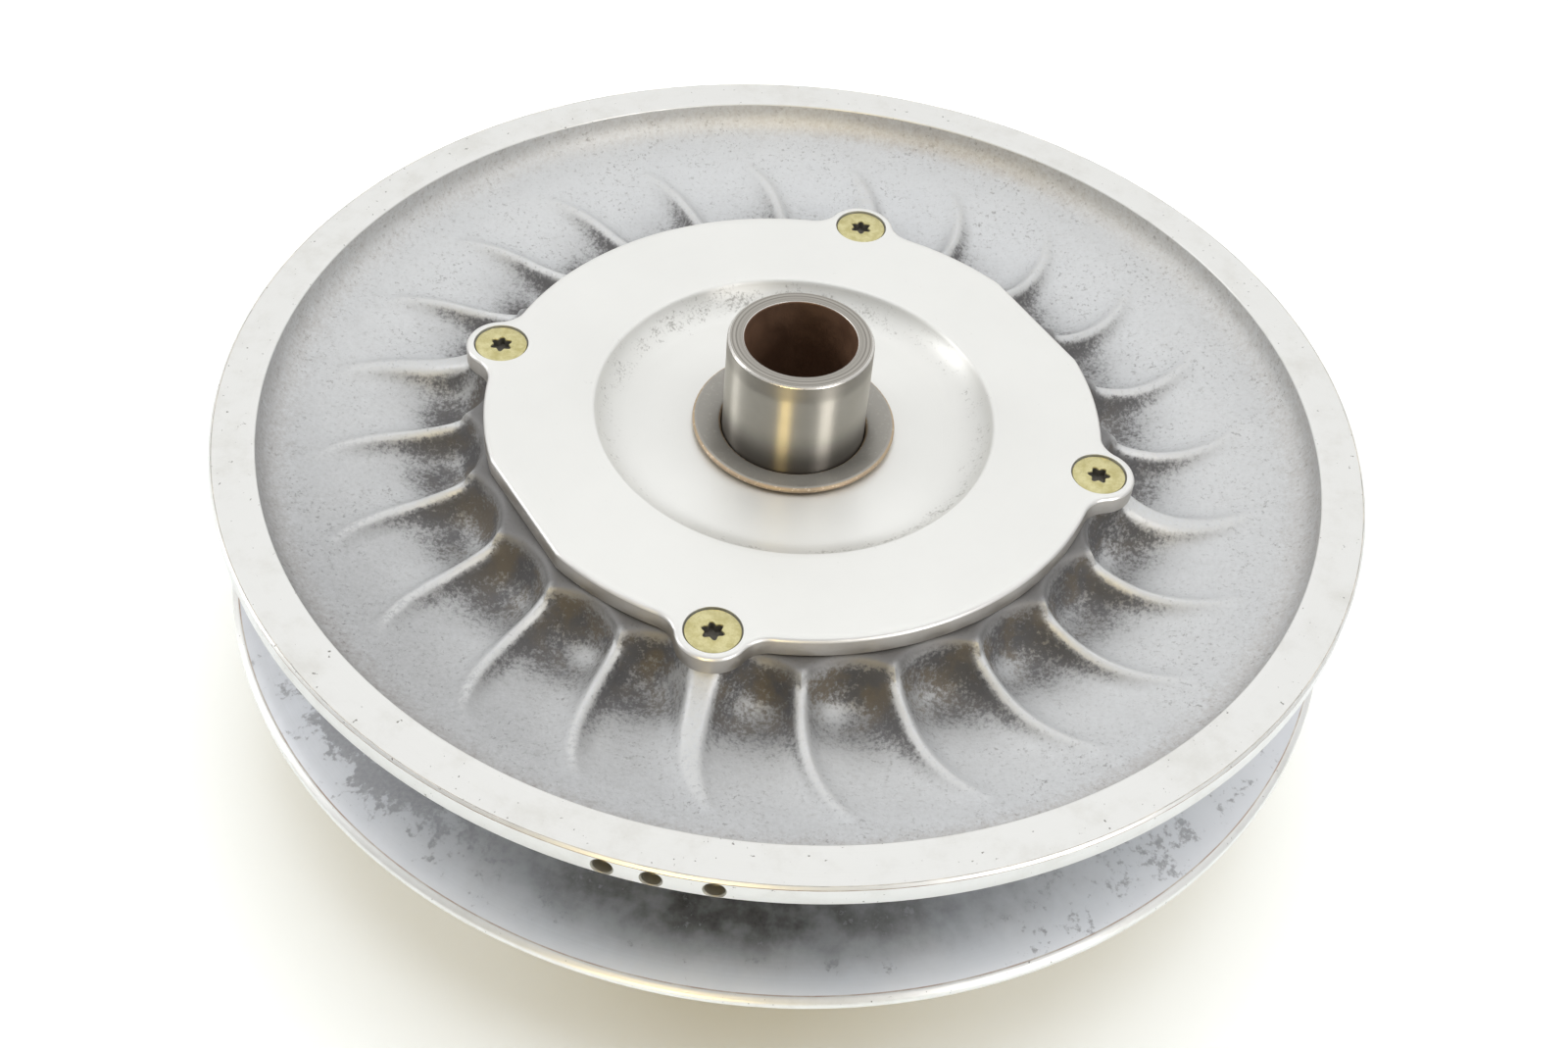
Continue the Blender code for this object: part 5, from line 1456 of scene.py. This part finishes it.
def make_rollers():
    length = (ROLLER_START, ROLLER_END, SMALL_STEPS)
    head = ROLLER_END + SEAT_GAP
    pin = [
        (0.0, head + PIN_HEAD),
        (PIN_HEAD_RADIUS, head + PIN_HEAD),
        (PIN_HEAD_RADIUS, head),
        (PIN_RADIUS, head),
        (PIN_RADIUS, SPIDER_BORE - PIN_TAIL),
        (0.0, SPIDER_BORE - PIN_TAIL),
    ]
    for i in range(ROLLER_COUNT):
        number = i + 1
        roller = ring(f"fine_roller_{number}", BUSH_RADIUS + SEAT_GAP, ROLLER_RADIUS, *length)
        bush = ring(f"fine_roller_bush_{number}", PIN_RADIUS + RUN_GAP, BUSH_RADIUS, *length)
        stem = turned(f"fine_roller_pin_{number}", pin, SMALL_STEPS)
        for piece in (roller, bush, stem):
            piece.data.transform(radial_place(i))
        finish(roller, f"roller_body_{number}", "roller_plastic", f"roller_{number}", ROLLER_PLASTIC)
        finish(bush, f"roller_body_{number}", "bronze", f"roller_bush_{number}", BRONZE)
        finish(stem, "fixed", "post_steel", f"roller_pin_{number}", DARK_STEEL)


def make_key():
    key = box_piece("fine_spider_key", *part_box("spider_key"))
    edit = bmesh.new()
    edit.from_mesh(key.data)
    bmesh.ops.bevel(edit, geom=edit.edges[:], offset=KEY_ROUNDING, segments=3, affect="EDGES")
    edit.to_mesh(key.data)
    edit.free()
    finish(key, "fixed", "post_steel", "spider_key", DARK_STEEL)


def make_retainer():
    """Open spring ring in the post's groove."""
    inner = POST_RADIUS - RETAINER_DEPTH
    outer = -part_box("retaining_ring")[0].x
    bottom, top = low("retaining_ring"), high("retaining_ring")
    section = np.array(rounded([(inner, top), (outer, top), (outer, bottom), (inner, bottom)]))
    middle = np.broadcast_to(section.mean(axis=0), section.shape)
    angles = np.linspace(RETAINER_OPENING / 2, TURN - RETAINER_OPENING / 2, MEDIUM_STEPS)
    plans = [(angles[0], middle), *[(angle, section) for angle in angles], (angles[-1], middle)]
    rows = np.array([around(plan[:, 0], angle, plan[:, 1]) for angle, plan in plans])
    retainer = skin("fine_retaining_ring", rows, closed=False)
    finish(retainer, "fixed", "spring_steel", "retaining_ring", DARK_STEEL)


def coil_height(turn, bottom, top):
    """Height of the wire's centre after so many turns, with the end turns wound close."""
    end_rise = SPRING_END_TURNS * (2 * WIRE_RADIUS + SPRING_END_GAP)
    turns = [0.0, SPRING_END_TURNS, SPRING_TURNS - SPRING_END_TURNS, SPRING_TURNS]
    return np.interp(turn, turns, [bottom, bottom + end_rise, top - end_rise, top])


def make_spring():
    """Compression spring as one wire with flat cut ends."""
    bottom, top = low("spring") + WIRE_RADIUS, high("spring") - WIRE_RADIUS
    steps = round(SPRING_TURNS * COIL_STEPS)
    turns = np.linspace(0.0, SPRING_TURNS, steps + 1)
    angles = TURN * turns
    centres = around(COIL_RADIUS, angles, coil_height(turns, bottom, top))
    along = np.gradient(centres, axis=0)
    along /= np.linalg.norm(along, axis=1)[:, None]
    out = around(1.0, angles, 0.0)
    up = np.cross(out, along)
    sides = round_steps(WIRE_SIDES)[:, None]
    spokes = out[:, None] * np.cos(sides) + up[:, None] * np.sin(sides)
    rows = centres[:, None] + WIRE_RADIUS * spokes
    caps = [np.broadcast_to(centres[end], (1, WIRE_SIDES, 3)) for end in (0, -1)]
    spring = skin("fine_spring", np.concatenate([caps[0], rows, caps[1]]), closed=False)
    finish(spring, "fixed", "spring_steel", "spring", DARK_STEEL)
    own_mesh(spring)


# The photograph's camera.
IMAGE_WIDTH = 1600
FOCAL_PIXELS = 2083.46
SENSOR_WIDTH = 36.0
CAMERA_PLACE = Vector((0.000149, -0.359777, 0.421872))
CAMERA_ELEVATION = math.radians(45.78)
CAMERA_ROLL = math.radians(5.547)


def make_camera():
    data = bpy.data.cameras.new("photo_camera")
    data.sensor_width = SENSOR_WIDTH
    data.lens = FOCAL_PIXELS * SENSOR_WIDTH / IMAGE_WIDTH
    camera = bpy.data.objects.new("photo_camera", data)
    tilt = Matrix.Rotation(math.pi / 2 - CAMERA_ELEVATION, 4, "X")
    roll = Matrix.Rotation(CAMERA_ROLL, 4, "Z")
    camera.matrix_world = Matrix.Translation(CAMERA_PLACE) @ tilt @ roll
    bpy.context.scene.collection.objects.link(camera)
    bpy.context.scene.camera = camera


def seen_directly(tree, path):
    """1 for rays from the camera and for reflected or refracted ones, 0 for the others."""
    bent = math_node(tree, "MAXIMUM", path["Is Glossy Ray"], path["Is Transmission Ray"])
    return math_node(tree, "MAXIMUM", path["Is Camera Ray"], bent)


WHITE = (1.0, 1.0, 1.0)
BLACK = (0.0, 0.0, 0.0)
AMBIENT = 0.21
BRIGHT_WAY = (0.0, 0.8, 1.0)
SHADE_LEVEL = 0.55
OVERHEAD_LEVEL = 0.62
FLOOR_COLOUR = (0.82, 0.89, 0.97)
FLOOR_GLOW = (0.27, 0.21, 0.09)
FLOOR_HALF_SIZE = 1.6
FLOOR_GAP = 0.2 * MM
FLOOR_FADE_START = 0.55
FLOOR_FADE_END = 1.1


def make_world():
    """White studio, whose reflections darken towards the low front and straight overhead."""
    world = bpy.data.worlds.new("studio")
    world.use_nodes = True
    tree = world.node_tree
    way = add_node(tree, "TexCoord").outputs["Generated"]
    slope = add_node(tree, "VectorMath", {0: way, 1: BRIGHT_WAY}, operation="DOT_PRODUCT").outputs["Value"]
    height = add_node(tree, "SeparateXYZ", {"Vector": way}).outputs["Z"]
    behind = smooth_ramp(tree, slope, 0.05, 0.95, SHADE_LEVEL, 1.0)
    overhead = smooth_ramp(tree, height, 0.80, 0.98, 1.0, OVERHEAD_LEVEL)
    mirrored = math_node(tree, "MULTIPLY", behind, overhead)
    path = add_node(tree, "LightPath").outputs
    level = smooth_ramp(tree, seen_directly(tree, path), 0.0, 1.0, AMBIENT, 1.0)
    shares = {0: path["Is Glossy Ray"], 2: level, 3: mirrored}
    strength = add_node(tree, "Mix", shares, data_type="FLOAT").outputs[0]
    background = tree.nodes["Background"]
    wire(tree, background.inputs["Color"], WHITE)
    wire(tree, background.inputs["Strength"], strength)
    bpy.context.scene.world = world


def make_floor():
    """Pale floor that glows for the camera, so that it is white outside the shadow and far away."""
    edit = bmesh.new()
    bmesh.ops.create_grid(edit, x_segments=1, y_segments=1, size=FLOOR_HALF_SIZE)
    mesh = bpy.data.meshes.new("floor")
    edit.to_mesh(mesh)
    edit.free()
    floor = new_piece("floor", mesh)
    floor.location.z = CAD_BOX[0][2] - FLOOR_GAP
    material = bpy.data.materials.new("floor_pale")
    material.use_nodes = True
    tree = material.node_tree
    tree.nodes.clear()
    place = add_node(tree, "NewGeometry").outputs["Position"]
    away = add_node(tree, "VectorMath", {0: place}, operation="LENGTH").outputs["Value"]
    far = smooth_ramp(tree, away, FLOOR_FADE_START, FLOOR_FADE_END)
    seen = seen_directly(tree, add_node(tree, "LightPath").outputs)
    diffuse = add_node(tree, "BsdfDiffuse", {"Color": mixed_colour(tree, far, FLOOR_COLOUR, BLACK)})
    pale = mixed_colour(tree, far, FLOOR_GLOW, WHITE)
    glow = add_node(tree, "Emission", {"Color": pale, "Strength": seen})
    both = add_node(tree, "AddShader", {0: diffuse.outputs[0], 1: glow.outputs[0]})
    add_node(tree, "OutputMaterial", {"Surface": both.outputs[0]})
    mesh.materials.append(material)


def soft_lamp(name, place, size, energy, colour, mirrored):
    """Flat lamp that faces the pulley; it is only mirrored, or it only lights dull surfaces."""
    data = bpy.data.lights.new(name, "AREA")
    data.shape = "RECTANGLE"
    data.size, data.size_y = size
    data.energy = energy
    data.color = colour
    lamp = bpy.data.objects.new(name, data)
    lamp.location = place
    lamp.visible_camera = False
    lamp.visible_glossy = mirrored
    lamp.visible_diffuse = not mirrored
    aim = Vector((0.0, 0.0, HUB_TOP)) - Vector(place)
    lamp.rotation_euler = aim.to_track_quat("-Z", "Y").to_euler()
    bpy.context.scene.collection.objects.link(lamp)


# Each lamp's name, place, size, power in watts, colour, and whether metal mirrors it.
LAMPS = (
    ("top_lamp", (0.05, 0.10, 1.25), (1.4, 1.2), 16.0, WHITE, False),
    ("left_box", (-0.95, 0.02, 0.68), (0.5, 0.4), 5.0, WHITE, False),
    ("right_box", (0.95, 0.0, 0.68), (0.5, 0.4), 4.6, WHITE, False),
    ("back_strip", (0.05, 0.45, 1.35), (1.0, 0.4), 0.45, (0.96, 0.98, 1.0), True),
    ("left_strip", (-1.0, 0.07, 0.42), (0.22, 0.8), 1.75, WHITE, True),
    ("right_strip", (0.72, -0.69, 0.42), (0.32, 0.8), 3.7, (1.0, 0.97, 0.94), True),
    ("warm_strip", (-0.20, -0.95, 0.38), (0.24, 0.6), 3.2, (1.0, 0.76, 0.30), True),
)


def make_lamps():
    for lamp in LAMPS:
        soft_lamp(*lamp)


make_camera()
make_world()
make_floor()
make_lamps()
make_moving_sheave()
make_cover()
make_fixed_sheave()
make_post()
make_bushings()
make_cup()
make_washers()
make_screws()
make_spider()
make_key()
make_retainer()
make_rollers()
make_spring()

bpy.context.scene.view_settings.view_transform = "Standard"
